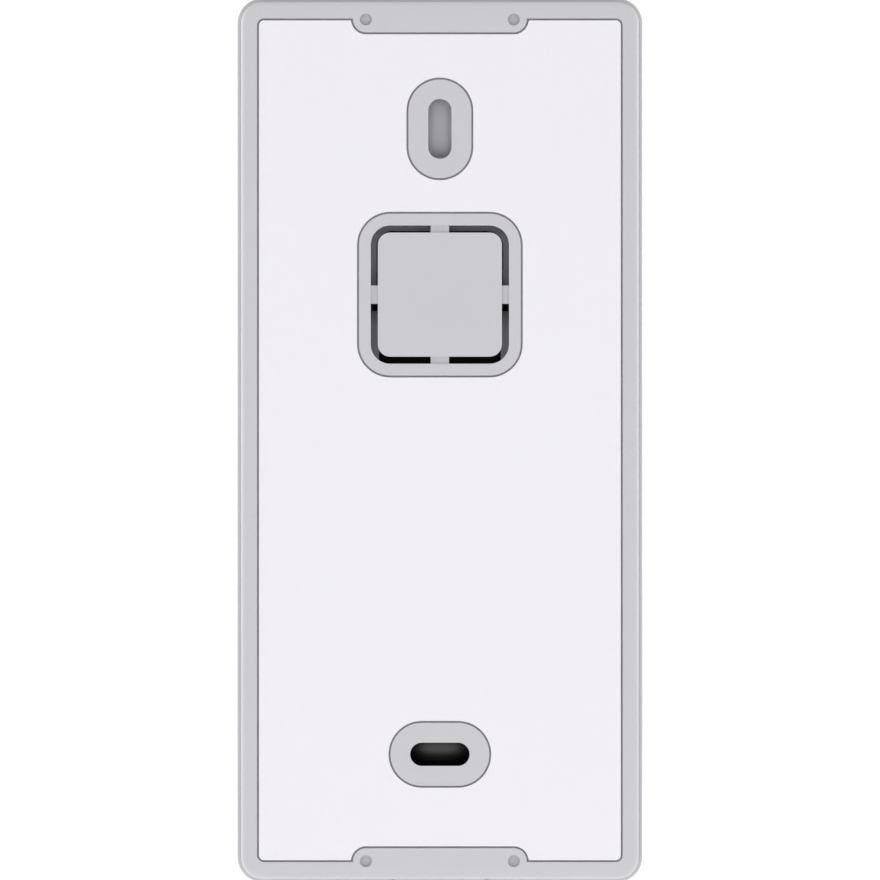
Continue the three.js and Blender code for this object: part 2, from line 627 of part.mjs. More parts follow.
// ---------------------------------------------------------------- front housing

const BOARD_FRONT = BOARD.from + BOARD.thick; // depth of the main board's front face
const FRONT_CUT = [FRONT_INSIDE - PAST, UNIT.front + PAST]; // depths of a tool through the front wall

function eachStake(make) {
  return mirrored((sx, sz) => make({
    x: sx * STAKE.x, z: BOARD.z + sz * STAKE.z, sides: SMALL_ROUND,
  }), ...FOUR_CORNERS);
}

/** A post behind the front wall, stepped down to the pin that the main board sits on. */
function stake(place) {
  const end = BOARD.from - STAKE.past;
  const shoulder = BOARD_FRONT + SEAT;
  const root = UNIT.front - PAST;
  return turned([
    [0, end], [STAKE.pin, end], [STAKE.pin, shoulder], [STAKE.post, shoulder], [STAKE.post, root], [0, root],
  ], place);
}

function grilleSlots() {
  return Array.from({ length: GRILLE.slots }, (_, index) => {
    const x = (index - (GRILLE.slots - 1) / 2) * GRILLE.pitch;
    return prism(stadium(GRILLE.width, GRILLE.height), ...FRONT_CUT, { x, z: SPEAKER.z });
  });
}

/** The panel's outline, grown or shrunk by spread. */
function panelOutline(spread) {
  return roundedRect(PANEL.width + 2 * spread, PANEL.height + 2 * spread, PANEL.corner + spread);
}

function frontHousing() {
  const rough = SPLIT_FRONT - UNIT.frontEdge - PAST;
  const shell = cut(
    prism(caseOutline(0), rough, UNIT.front, { edge: UNIT.frontEdge }),
    prism(caseOutline(-PAST), rough - PAST, SPLIT_FRONT),
    prism(caseOutline(UNIT.wall), SPLIT_FRONT - PAST, FRONT_INSIDE),
  );
  const postRadius = CORNER_POST.radius - GAP;
  const pilotEnd = SPLIT_FRONT + CORNER_POST.pilotLength;
  const filled = join(
    shell,
    ...eachCornerPost((place) => disc(postRadius, SPLIT_FRONT + GAP, FRONT_INSIDE + GAP, place)),
    ...eachStake(stake),
  );
  return cut(
    filled,
    ...eachCornerPost((place) => disc(CORNER_POST.pilot, SPLIT_FRONT - PAST, pilotEnd, place)),
    prism(panelOutline(GAP), PANEL.from - SEAT, UNIT.front + PAST, { z: PANEL.z, curveSegments: 3 }),
    prism(panelOutline(-PANEL.ledge), ...FRONT_CUT, { z: PANEL.z }),
    disc(BUTTON.bezel + GAP, ...FRONT_CUT, { z: BUTTON.z, sides: WIDE_ROUND }),
    disc(MICROPHONE.hole, ...FRONT_CUT, { z: MICROPHONE.z, sides: PINHOLE }),
    ...grilleSlots(),
  );
}

// ---------------------------------------------------------------- camera panel, camera and sensors

function infraredPlaces() {
  return mirrored((sx, sz) => [sx * INFRARED.x, CAMERA.z + sz * INFRARED.z], ...FOUR_CORNERS);
}

function cameraPanel() {
  const through = [PANEL.from - PAST, PANEL.front + PAST];
  const windowFloor = PANEL.front - WINDOW.thick - SEAT;
  const ledRadius = INFRARED.radius + GAP;
  const motionHole = roundedRect(MOTION.width + 2 * GAP, MOTION.height + 2 * GAP, MOTION.corner + GAP);
  return cut(
    prism(panelOutline(0), PANEL.from, PANEL.front, { z: PANEL.z, edge: PANEL.edge, curveSegments: 3 }),
    disc(WINDOW.radius - WINDOW.ledge, ...through, { z: CAMERA.z }),
    disc(WINDOW.radius + FIT, windowFloor, PANEL.front + PAST, { z: CAMERA.z }),
    ...infraredPlaces().map(([x, z]) => disc(ledRadius, ...through, { x, z, sides: SMALL_ROUND })),
    prism(motionHole, ...through, { z: MOTION.z }),
    disc(LIGHT_SENSOR.radius + FIT, ...through, { z: LIGHT_SENSOR.z, sides: SMALL_ROUND }),
  );
}

function motionLens() {
  const { width, height, corner, flange, flangeThick, sunk, z } = MOTION;
  const back = PANEL.from - SEAT - flangeThick;
  const brim = roundedRect(width + 2 * flange, height + 2 * flange, corner);
  return join(
    prism(roundedRect(width, height, corner), back + flangeThick / 2, PANEL.front - sunk, { z }),
    prism(brim, back, back + flangeThick, { z }),
  );
}

function sensorBoard() {
  const { size, corner, thick } = SENSOR_BOARD;
  return prism(roundedRect(size, size, corner), SEAT, SEAT + thick);
}

function lensHolder() {
  const { size, corner, depth, edge } = LENS_HOLDER;
  return cut(
    prism(roundedRect(size, size, corner), 0, depth, { edge }),
    disc(CAMERA.thread + FIT, -PAST, depth + PAST),
  );
}

/** The glass in front of the lens, with its outer rim broken. */
function lensWindow() {
  const { radius, thick, edge } = WINDOW;
  return turned([[0, 0], [radius, 0], [radius, thick - edge], [radius - edge, thick], [0, thick]]);
}

function infraredBoard() {
  const { width, height, corner, thick } = INFRARED_BOARD;
  return cut(
    prism(roundedRect(width, height, corner), 0, thick),
    disc(CAMERA.barrel + 2 * GAP, -PAST, thick + PAST),
  );
}

function buildCamera(unit) {
  piece(unit, 'camera_panel', cameraPanel(), FINISH.glossBlack);
  piece(unit, 'motion_lens', motionLens(), FINISH.smokedLens);
  const sensorLens = turned(LIGHT_LENS, { sides: SMALL_ROUND });
  piece(unit, 'light_sensor_lens', sensorLens, FINISH.smokedLens, [0, 0, LIGHT_SENSOR.z]);
  piece(unit, 'motion_sensor', turned(MOTION_SENSOR), FINISH.steel, [0, BOARD_FRONT + SEAT, MOTION.z]);

  const camera = group(unit, 0, BOARD_FRONT, CAMERA.z);
  const windowBack = PANEL.front - WINDOW.thick - BOARD_FRONT;
  piece(camera, 'sensor_board', sensorBoard(), FINISH.board);
  piece(camera, 'lens_holder', lensHolder(), FINISH.blackPlastic, [0, STACK.holder, 0]);
  piece(camera, 'lens_barrel', turned(LENS_BARREL), FINISH.blackPlastic, [0, STACK.barrel, 0]);
  const rearLens = turned(REAR_LENS, { sides: SMALL_ROUND });
  piece(camera, 'rear_lens', rearLens, FINISH.glass, [0, STACK.rearLens, 0]);
  piece(camera, 'front_lens', turned(FRONT_LENS), FINISH.glass, [0, STACK.frontLens, 0]);
  piece(camera, 'lens_window', lensWindow(), FINISH.glass, [0, windowBack, 0]);
  piece(camera, 'infrared_board', infraredBoard(), FINISH.board, [0, STACK.infraredBoard, 0]);
  FOUR_CORNERS.forEach(([sx, sz], index) => {
    const led = turned(INFRARED_LED, { sides: SMALL_ROUND });
    piece(camera, `infrared_led_${index + 1}`, led, FINISH.clearLed, [
      sx * INFRARED.x, STACK.infraredLed, sz * INFRARED.z,
    ]);
  });
}

// ---------------------------------------------------------------- boards

function mainBoard() {
  const { width, height, corner, thick } = BOARD;
  const holes = mirrored((sx, sz) => disc(STAKE.hole, -PAST, thick + PAST, {
    x: sx * STAKE.x, z: sz * STAKE.z, sides: SMALL_ROUND,
  }), ...FOUR_CORNERS);
  return cut(prism(roundedRect(width, height, corner), 0, thick, { curveSegments: 1 }), ...holes);
}

function shieldCan() {
  const { size, depth, vent, ventAt, ventDepth } = SHIELD;
  const vents = mirrored((sx, sz) => disc(vent, -PAST, ventDepth, {
    x: sx * ventAt, z: sz * ventAt, sides: PINHOLE,
  }), ...FOUR_CORNERS);
  return cut(box(size, size, 0, depth), ...vents);
}

function batteryContacts() {
  const { width, height, depth, pitch, slotWidth, slotHeight, slotDepth } = CONTACTS;
  const slots = [-pitch, 0, pitch].map((x) => box(slotWidth, slotHeight, -PAST, slotDepth, x));
  return cut(box(width, height, 0, depth), ...slots);
}

function tamperPlunger() {
  const { pin, flange, flangeThick, nose, noseLength, end } = TAMPER;
  const tip = UNIT.back;
  const seat = INSIDE + SEAT;
  return turned([
    [0, tip], [nose, tip], [pin, tip + noseLength], [pin, seat], [flange, seat],
    [flange, seat + flangeThick], [pin, seat + flangeThick], [pin, end], [0, end],
  ], { sides: SMALL_ROUND });
}

function tamperSwitch() {
  const { size, key, keyLength } = TAMPER_SWITCH;
  const top = TAMPER.end + TAMPER.travel + SEAT;
  return join(
    box(size, size, top + keyLength, BOARD.from - SEAT),
    disc(key, top, top + 2 * keyLength, { sides: SMALL_ROUND }),
  );
}

/** The microphone's can, with its port towards the front. */
function microphone() {
  const { width, height, thick, port, portDepth } = MICROPHONE;
  const front = SEAT + thick;
  const portTool = disc(port, front - portDepth, front + PAST, { sides: PINHOLE });
  return cut(box(width, height, SEAT, front), portTool);
}

function buildBoards(unit) {
  const rearFace = group(unit, 0, BOARD.from, 0);
  piece(rearFace, 'main_board', mainBoard(), FINISH.board, [0, 0, BOARD.z]);
  piece(rearFace, 'shield_can', shieldCan(), FINISH.steel, [SHIELD.x, -SHIELD.depth - SEAT, SHIELD.z]);
  piece(rearFace, 'battery_contacts', batteryContacts(), FINISH.brass, [
    0, -CONTACTS.depth - SEAT, CONTACTS.z,
  ]);
  const antenna = box(ANTENNA.width, ANTENNA.height, 0, ANTENNA.thick);
  piece(rearFace, 'wifi_antenna', antenna, FINISH.board, [ANTENNA.x, 0, ANTENNA.z]);
  piece(unit, 'tamper_plunger', tamperPlunger(), FINISH.blackPlastic, [TAMPER.x, 0, TAMPER.z]);
  piece(unit, 'tamper_switch', tamperSwitch(), FINISH.blackPlastic, [TAMPER.x, 0, TAMPER.z]);

  const frontFace = group(unit, 0, BOARD_FRONT, MICROPHONE.z);
  const bootFrom = MICROPHONE.thick + 2 * SEAT;
  const bootTo = FRONT_INSIDE - BOARD_FRONT - SEAT;
  const boot = ring(MICROPHONE.boot, MICROPHONE.bootBore, bootFrom, bootTo, { sides: SMALL_ROUND });
  piece(frontFace, 'microphone', microphone(), FINISH.steel);
  piece(frontFace, 'microphone_boot', boot, FINISH.rubber);
}

// ---------------------------------------------------------------- push button

function buttonCap() {
  const { cap, front, edge, skirt, skirtThick, skirtBack, stub, stubLength } = BUTTON;
  const back = FRONT_INSIDE - skirtBack;
  return turned([
    [0, back - stubLength], [stub, back - stubLength], [stub, back], [skirt, back],
    [skirt, back + skirtThick], [cap, back + skirtThick], [cap, front - edge], [cap - edge, front],
    ...CAP_DISH,
  ], { sides: WIDE_ROUND });
}

function buttonLightRing() {
  const { bore, bezel, flange } = BUTTON;
  const back = FRONT_INSIDE - BUTTON_RING.back;
  const seat = FRONT_INSIDE - SEAT;
  const front = UNIT.front + BUTTON_RING.proud;
  const { edge } = BUTTON_RING;
  return turned([
    [bore, back], [flange, back], [flange, seat], [bezel, seat], [bezel, front - edge],
    [bezel - edge, front], [bore + edge, front], [bore, front - edge], [bore, back],
  ], { sides: WIDE_ROUND });
}

function buttonSeal() {
  const from = BUTTON_BOARD.from + BUTTON_BOARD.thick + SEAT;
  return ring(BUTTON_SEAL.outer, BUTTON_SEAL.inner, from, FRONT_INSIDE - BUTTON_RING.back - SEAT);
}

function buttonBoard() {
  const { size, corner, from, thick } = BUTTON_BOARD;
  return prism(roundedRect(size, size, corner), from, from + thick);
}

function buttonSwitch() {
  const { size, depth, key, keyLength } = BUTTON_SWITCH;
  const front = SEAT + depth;
  const plunger = disc(key, front - SEAT, front + keyLength, { sides: SMALL_ROUND });
  return join(box(size, size, SEAT, front), plunger);
}

function buildButton(unit) {
  const button = group(unit, 0, 0, BUTTON.z);
  const switchDepth = BUTTON_BOARD.from + BUTTON_BOARD.thick;
  piece(button, 'button_cap', buttonCap(), FINISH.buttonCap);
  piece(button, 'button_light_ring', buttonLightRing(), FINISH.lightGuide);
  piece(button, 'button_seal', buttonSeal(), FINISH.rubber);
  piece(button, 'button_board', buttonBoard(), FINISH.board);
  piece(button, 'button_switch', buttonSwitch(), FINISH.blackPlastic, [0, switchDepth, 0]);
  const { width, bottom, top, from, to } = RIBBON;
  piece(unit, 'board_ribbon', boxBetween(width, bottom, top, from, to), FINISH.lightGuide);
}

// ---------------------------------------------------------------- speaker

function speakerGasket() {
  const { radius, front, gasket, gasketWidth } = SPEAKER;
  return ring(radius, radius - gasketWidth, front, front + gasket);
}

function speakerMesh() {
  const { width, height, corner, thick } = SPEAKER_MESH;
  return prism(roundedRect(width, height, corner), 0, thick);
}

function buildSpeaker(unit) {
  const place = group(unit, 0, 0, SPEAKER.z);
  const meshDepth = SPEAKER.front + SPEAKER.gasket + SEAT;
  piece(place, 'speaker', turned(SPEAKER_CONE), FINISH.blackPlastic);
  piece(place, 'speaker_gasket', speakerGasket(), FINISH.rubber);
  piece(place, 'speaker_mesh', speakerMesh(), FINISH.steel, [0, meshDepth, 0]);
}

// ---------------------------------------------------------------- the whole object

const doorbell = new THREE.Group();
buildBracket(doorbell);
const unit = group(doorbell);
buildRear(unit);
piece(unit, 'front_housing', frontHousing(), FINISH.greyPlastic);
buildCamera(unit);
buildBoards(unit);
buildButton(unit);
buildSpeaker(unit);

export default doorbell;
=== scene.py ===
"""A battery video doorbell on its wall bracket: its visible pieces, finishes, studio and camera.

Lengths are in metres. +Z is up, the wall face of the bracket lies in the plane y = 0 and the doorbell's front
faces -Y, so a piece that lies deeper than another, seen from the wall, has the lower y.
"""

import contextlib
import json
import logging
import math
from collections.abc import Callable, Iterator, Sequence
from dataclasses import dataclass
from enum import Enum
from itertools import pairwise, product

import bmesh
import bpy
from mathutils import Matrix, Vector


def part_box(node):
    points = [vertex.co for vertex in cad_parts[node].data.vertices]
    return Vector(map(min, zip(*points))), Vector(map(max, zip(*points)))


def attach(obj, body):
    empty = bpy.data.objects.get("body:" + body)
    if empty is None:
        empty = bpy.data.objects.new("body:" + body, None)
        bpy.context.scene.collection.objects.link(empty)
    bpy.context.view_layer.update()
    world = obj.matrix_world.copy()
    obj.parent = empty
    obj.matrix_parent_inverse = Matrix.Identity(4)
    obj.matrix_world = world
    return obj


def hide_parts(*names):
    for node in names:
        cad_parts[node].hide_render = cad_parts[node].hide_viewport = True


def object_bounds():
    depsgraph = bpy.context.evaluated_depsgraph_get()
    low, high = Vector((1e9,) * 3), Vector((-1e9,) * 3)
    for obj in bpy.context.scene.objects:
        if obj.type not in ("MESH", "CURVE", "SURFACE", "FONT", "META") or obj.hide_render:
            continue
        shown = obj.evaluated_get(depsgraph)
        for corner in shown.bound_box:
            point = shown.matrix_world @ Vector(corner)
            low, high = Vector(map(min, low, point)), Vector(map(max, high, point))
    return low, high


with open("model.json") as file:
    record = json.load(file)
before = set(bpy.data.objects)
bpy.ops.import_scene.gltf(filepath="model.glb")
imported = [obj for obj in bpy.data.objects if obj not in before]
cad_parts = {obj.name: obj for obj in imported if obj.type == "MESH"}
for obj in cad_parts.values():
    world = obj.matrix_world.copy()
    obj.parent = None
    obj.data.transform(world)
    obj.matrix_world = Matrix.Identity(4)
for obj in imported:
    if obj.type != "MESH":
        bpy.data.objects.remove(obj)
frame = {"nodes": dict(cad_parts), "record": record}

MM = 0.001
NUDGE = 0.02 * MM  # tolerance when faces and edges are selected by their place
PAST = 1 * MM  # how far a cutting tool runs past the face that it opens
CAD_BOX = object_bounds()

log = logging.getLogger("doorbell")

Colour = tuple[float, float, float]
Pair = tuple[float, float]
Triple = tuple[float, float, float]
Profile = Sequence[Pair]
Piece = bpy.types.Object
WHITE = (1, 1, 1, 1)


class Body(Enum):
    """The bodies of the frame that pieces ride on."""

    BRACKET = "bracket"
    DOORBELL = "doorbell"
    SECURITY_SCREW = "security_screw"
    BUTTON_CAP = "button_cap"


class Slot(Enum):
    """The record's material slots, named alongside each new piece's finish."""

    GREY_PLASTIC = "grey_plastic"
    WHITE_PAD = "white_pad"
    BLACK_PLASTIC = "black_plastic"
    GLOSS_BLACK = "gloss_black"
    STEEL = "steel"
    LENS_GLASS = "lens_glass"
    SMOKED_LENS = "smoked_lens"
    CLEAR_LED = "clear_led"
    BUTTON_WHITE = "button_white"
    LIGHT_GUIDE = "light_guide"


class Joinery(Enum):
    """What a tool does to the body that it is used on."""

    CUT = "DIFFERENCE"
    ADD = "UNION"


@dataclass(frozen=True)
class Extent:
    """The box that a CAD node fills at rest."""

    low: Vector
    high: Vector

    @classmethod
    def of(cls, node: str) -> "Extent":
        """Measures a CAD node.

        Args:
            node: the node's name.

        Returns:
            The node's box.
        """
        return cls(*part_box(node))

    @property
    def size(self) -> Vector:
        """The box's width, depth and height."""
        return self.high - self.low

    @property
    def centre(self) -> Vector:
        """The middle of the box."""
        return (self.high + self.low) / 2

    @property
    def plan(self) -> Pair:
        """The box's width and height."""
        return self.size.x, self.size.z

    @property
    def mid_line(self) -> Pair:
        """The box's middle height on the doorbell's middle line, as x and z."""
        return 0, self.centre.z


def grown(size: Pair, by: float) -> Pair:
    """Gives a width and height that reach further on every side, or less far where by is negative."""
    return size[0] + 2 * by, size[1] + 2 * by


def tinted(colour: Colour, gain: float) -> Colour:
    """Gives a lighter or darker shade of a colour."""
    return tuple(channel * gain for channel in colour)


def arc(steps: int, quarters: int = 1) -> list[Pair]:
    """Gives the cosine and sine of evenly spaced turns, from 0 up to so many quarters, both ends in."""
    turns = [quarters * math.pi / 2 * step / steps for step in range(steps + 1)]
    return [(math.cos(turn), math.sin(turn)) for turn in turns]


# ------------------------------------------------------------------------------------------------ bench


class Bench:
    """Hand tools that add and shape meshes with Blender's own operators."""

    @staticmethod
    def pick(piece: Piece) -> None:
        """Makes a piece the only selected one, and the active one.

        Args:
            piece: the piece to select.
        """
        bpy.ops.object.select_all(action="DESELECT")
        piece.select_set(True)
        bpy.context.view_layer.objects.active = piece

    @staticmethod
    def settle(name: str) -> Piece:
        """Names the new primitive and moves its place into its mesh.

        Args:
            name: the piece's name.

        Returns:
            The piece, with its object at the origin.
        """
        piece = bpy.context.object
        piece.name = name
        piece.data.name = name
        bpy.ops.object.transform_apply(location=True, rotation=True, scale=True)
        return piece

    @staticmethod
    @contextlib.contextmanager
    def editing(piece: Piece, mode: str = "EDGE") -> Iterator[bmesh.types.BMesh]:
        """Opens a piece in edit mode with nothing selected.

        Args:
            piece: the piece to edit.
            mode: VERT, EDGE or FACE.

        Returns:
            The mesh being edited.
        """
        Bench.pick(piece)
        bpy.ops.object.mode_set(mode="EDIT")
        bpy.ops.mesh.select_mode(type=mode)
        bpy.ops.mesh.select_all(action="DESELECT")
        try:
            yield bmesh.from_edit_mesh(piece.data)
        finally:
            bpy.ops.object.mode_set(mode="OBJECT")

    @staticmethod
    def block(name: str, low: Vector, high: Vector) -> Piece:
        """Adds a block between two corners.

        Args:
            name: the piece's name.
            low: its lowest corner.
            high: its highest corner.

        Returns:
            The block.
        """
        bpy.ops.object.select_all(action="DESELECT")
        low, high = Vector(low), Vector(high)
        bpy.ops.mesh.primitive_cube_add(size=1, location=(low + high) / 2, scale=high - low)
        return Bench.settle(name)

    @staticmethod
    def round_edges(
        piece: Piece, radius: float, steps: int, chosen: Callable[[Vector, Vector], bool]
    ) -> None:
        """Rounds the edges that a test chooses.

        Args:
            piece: the piece to edit.
            radius: the rounding's radius.
            steps: how many faces each rounding has.
            chosen: says from an edge's two ends whether it is rounded.
        """
        with Bench.editing(piece) as mesh:
            for edge in mesh.edges:
                edge.select_set(chosen(edge.verts[0].co, edge.verts[1].co))
            bmesh.update_edit_mesh(piece.data)
            bpy.ops.mesh.bevel(offset=radius, segments=steps, affect="EDGES", clamp_overlap=True)

    @staticmethod
    def round_face(piece: Piece, radius: float, steps: int, y: float) -> None:
        """Rounds the edges of the face that lies at one depth.

        Args:
            piece: the piece to edit.
            radius: the rounding's radius.
            steps: how many faces each rounding has.
            y: where the face lies.
        """
        Bench.round_edges(piece, radius, steps, lambda a, b: max(abs(a.y - y), abs(b.y - y)) < NUDGE)

    @staticmethod
    def slab(
        name: str, size: Pair, corner: float, wall_side: float, front: float,
        centre: Pair = (0.0, 0.0), steps: int = 10,
    ) -> Piece:
        """Makes an upright slab with round corners.

        Args:
            name: the piece's name.
            size: its width and height.
            corner: the radius of its corners, at most half of the smaller side.
            wall_side: y of its face on the wall's side.
            front: y of its front face.
            centre: x and z of its middle.
            steps: how many faces round each corner.

        Returns:
            The slab.
        """
        (width, height), (x, z) = size, centre
        slab = Bench.block(
            name, (x - width / 2, front, z - height / 2), (x + width / 2, wall_side, z + height / 2)
        )
        limit = min(corner, min(size) / 2 - NUDGE / 10)
        Bench.round_edges(slab, limit, steps, lambda a, b: abs(a.y - b.y) > NUDGE)
        return slab

    @staticmethod
    def turned(
        name: str, centre: Pair, profile: Profile, sides: int = 64, closed: bool = False
    ) -> Piece:
        """Makes a round piece about a Y axis by drawing a circle out along a profile.

        Args:
            name: the piece's name.
            centre: x and z of its axis.
            profile: radius and y of each ring in turn.
            sides: how many sides the piece has.
            closed: True joins the last ring to the first, and False caps both ends.

        Returns:
            The piece.
        """
        x, z = centre
        (radius, y), *_ = profile
        bpy.ops.object.select_all(action="DESELECT")
        bpy.ops.mesh.primitive_circle_add(
            vertices=sides, radius=radius, location=(x, y, z), rotation=(math.pi / 2, 0, 0)
        )
        piece = Bench.settle(name)
        route = [*profile, profile[0]] if closed else list(profile)
        with Bench.editing(piece):
            bpy.ops.mesh.select_all(action="SELECT")
            for (before, y_before), (after, y_after) in pairwise(route):
                bpy.ops.mesh.extrude_region_move(TRANSFORM_OT_translate={"value": (0, y_after - y_before, 0)})
                share = after / before
                bpy.ops.transform.resize(value=(share, 1, share), center_override=(x, y_after, z))
            bpy.ops.mesh.select_all(action="SELECT")
            bpy.ops.mesh.remove_doubles(threshold=NUDGE / 100)
            if not closed:
                bpy.ops.mesh.fill_holes(sides=0)
            bpy.ops.mesh.select_all(action="SELECT")
            bpy.ops.mesh.normals_make_consistent(inside=False)
        return piece

    @staticmethod
    def disc(
        name: str, centre: Pair, radius: float, wall_side: float, front: float, sides: int = 48
    ) -> Piece:
        """Makes a round tool or boss about a Y axis.

        Args:
            name: the piece's name.
            centre: x and z of its axis.
            radius: its radius.
            wall_side: y of its end on the wall's side.
            front: y of its front end.
            sides: how many sides it has.

        Returns:
            The disc.
        """
        return Bench.turned(name, centre, [(radius, wall_side), (radius, front)], sides)

    @staticmethod
    def rod(name: str, y: float, radius: float, low: float, high: float, sides: int) -> Piece:
        """Makes a round tool that stands upright on the middle line.

        Args:
            name: the piece's name.
            y: where its axis stands.
            radius: its radius.
            low: its lower end.
            high: its upper end.
            sides: how many sides it has.

        Returns:
            The rod.
        """
        bpy.ops.object.select_all(action="DESELECT")
        bpy.ops.mesh.primitive_cylinder_add(
            vertices=sides, radius=radius, depth=high - low, location=(0, y, (low + high) / 2)
        )
        return Bench.settle(name)

    @staticmethod
    def use(body: Piece, how: Joinery, *tools: Piece) -> Piece:
        """Cuts tools out of a body, or adds them to it, and clears them away.

        Args:
            body: the piece that is changed.
            how: whether the tools are cut out or added.
            tools: closed solids.

        Returns:
            The body.
        """
        for tool in tools:
            Bench.pick(body)
            carve = body.modifiers.new("Carve", "BOOLEAN")
            carve.operation = how.value
            carve.solver = "MANIFOLD"
            carve.object = tool
            bpy.ops.object.modifier_apply(modifier=carve.name)
            bpy.data.objects.remove(tool, do_unlink=True)
        return body

    @staticmethod
    def soften(piece: Piece, width: float, steps: int = 2, sharpest: float = 32) -> Piece:
        """Breaks a piece's sharp edges and shades it smooth between its remaining corners.

        Args:
            piece: the finished shape.
            width: how far each edge is broken, or 0 to leave the edges sharp.
            steps: how many faces each broken edge has.
            sharpest: the angle, in degrees, past which an edge counts as sharp.

        Returns:
            The piece.
        """
        Bench.pick(piece)
        if not width:
            bpy.ops.object.shade_smooth_by_angle(angle=math.radians(sharpest))
            return piece
        bpy.ops.object.shade_smooth()
        soft = piece.modifiers.new("Soft edges", "BEVEL")
        soft.width = width
        soft.segments = steps
        soft.limit_method = "ANGLE"
        soft.angle_limit = math.radians(sharpest)
        soft.use_clamp_overlap = True
        soft.harden_normals = True
        bpy.ops.object.modifier_apply(modifier=soft.name)
        return piece

    @staticmethod
    def copy(piece: Piece, name: str, shift: Triple) -> Piece:
        """Copies a piece with its own mesh.

        Args:
            piece: the piece to copy.
            name: the copy's name.
            shift: how far the copy is moved.

        Returns:
            The copy, with its place in its mesh.
        """
        Bench.pick(piece)
        bpy.ops.object.duplicate()
        bpy.context.object.location = shift
        return Bench.settle(name)


def corners(x: float, z: float) -> list[Pair]:
    """Gives the four places that mirror each other left to right and top to bottom.

    Args:
        x: distance from the middle line.
        z: distance from the middle height.

    Returns:
        Four pairs of x and z, upper ones first.
    """
    return [(side * x, level * z) for level, side in product((1, -1), (-1, 1))]


# ------------------------------------------------------------------------------------------------ shading


class Wire:
    """One output of a shader node, on which arithmetic adds Math nodes."""

    def __init__(self, graph: "Graph", socket: bpy.types.NodeSocket) -> None:
        """Wraps a socket.

        Args:
            graph: the graph that the socket is in.
            socket: the output socket.
        """
        self.graph = graph
        self.socket = socket

    def _math(self, operation: str, *values: "Wire | float") -> "Wire":
        """Adds one Math node.

        Args:
            operation: the node's operation.
            values: its inputs in order.

        Returns:
            The node's output.
        """
        return self.graph.node("ShaderNodeMath", {"operation": operation}, dict(enumerate(values)))

    def __add__(self, other: "Wire | float") -> "Wire":
        """Adds."""
        return self._math("ADD", self, other)

    __radd__ = __add__

    def __sub__(self, other: "Wire | float") -> "Wire":
        """Takes away."""
        return self._math("SUBTRACT", self, other)

    def __rsub__(self, other: float) -> "Wire":
        """Takes this from a number."""
        return self._math("SUBTRACT", other, self)

    def __mul__(self, other: "Wire | float") -> "Wire":
        """Multiplies."""
        return self._math("MULTIPLY", self, other)

    __rmul__ = __mul__

    def __abs__(self) -> "Wire":
        """Drops the sign."""
        return self._math("ABSOLUTE", self)

    def step(self, low: float, high: float) -> "Wire":
        """Rises smoothly from 0 to 1.

        Args:
            low: where the rise starts.
            high: where it ends.

        Returns:
            A value from 0 to 1.
        """
        inputs = {"Value": self, "From Min": low, "From Max": high}
        return self.graph.node("ShaderNodeMapRange", {"interpolation_type": "SMOOTHSTEP"}, inputs)


class Graph:
    """A node tree that is filled from nothing."""

    def __init__(self, tree: bpy.types.NodeTree, coordinate: str) -> None:
        """Empties the tree.

        Args:
            tree: the tree to fill.
            coordinate: which texture coordinate its patterns follow.
        """
        self.tree = tree
        self.tree.nodes.clear()
        self.place = self.node("ShaderNodeTexCoord", output=coordinate)

    def node(
        self, kind: str, settings: dict[str, object] | None = None,
        inputs: dict[str | int, object] | None = None, output: str | int = 0,
    ) -> Wire:
        """Adds any node.

        Args:
            kind: the node's type.
            settings: its properties, which are set first.
            inputs: a value or a wire for each input socket.
            output: which output is wanted.

        Returns:
            That output.
        """
        node = self.tree.nodes.new(kind)
        for key, value in (settings or {}).items():
            setattr(node, key, value)
        for key, value in (inputs or {}).items():
            self.plug(node.inputs[key], value)
        return Wire(self, node.outputs[output])

    def plug(self, socket: bpy.types.NodeSocket, value: object) -> None:
        """Links a wire to a socket, or sets the socket's own value.

        Args:
            socket: an input socket.
            value: a wire, a number, or a tuple.
        """
        if isinstance(value, Wire):
            self.tree.links.new(value.socket, socket)
        else:
            socket.default_value = value

    def noise(self, size: float, detail: float = 2.0, stretch: Triple = (1, 1, 1)) -> Wire:
        """Adds soft noise from 0 to 1.

        Args:
            size: the width of a typical patch.
            detail: how many finer layers it has.
            stretch: how many times it is repeated along each axis, which makes streaks.

        Returns:
            The noise.
        """
        spread = self.node("ShaderNodeMapping", None, {"Vector": self.place, "Scale": stretch})
        return self.node("ShaderNodeTexNoise", None, {"Vector": spread, "Scale": 1 / size, "Detail": detail})

    def cells(self, size: float, jitter: float = 1.0) -> Wire:
        """Adds the distance to the nearest of many scattered points, in parts of their spacing.

        Args:
            size: the points' spacing.
            jitter: 0 for a regular grid, 1 for a random scatter.

        Returns:
            The distance.
        """
        return self.node(
            "ShaderNodeTexVoronoi", None, {"Vector": self.place, "Scale": 1 / size, "Randomness": jitter}
        )

    def axis(self, name: str) -> Wire:
        """One of the Object coordinates.

        Args:
            name: X, Y or Z.

        Returns:
            The coordinate in metres.
        """
        return self.node("ShaderNodeSeparateXYZ", None, {"Vector": self.place}, name)

    def blend(self, share: Wire, first: Colour, second: Colour) -> Wire:
        """Mixes two colours.

        Args:
            share: 0 for the first colour and 1 for the second.
            first: the first colour.
            second: the second colour.

        Returns:
            The mixed colour.
        """
        settings = {"data_type": "RGBA"}
        colours = {0: share, 6: (*first, 1), 7: (*second, 1)}
        return self.node("ShaderNodeMix", settings, colours, 2)

    def bump(self, height: Wire, depth: float) -> Wire:
        """Turns a height into a normal.

        Args:
            height: a value from 0 to 1.
            depth: how far apart the lowest and highest places are.

        Returns:
            The normal.
        """
        return self.node("ShaderNodeBump", None, {"Height": height, "Distance": depth, "Strength": 1.0})


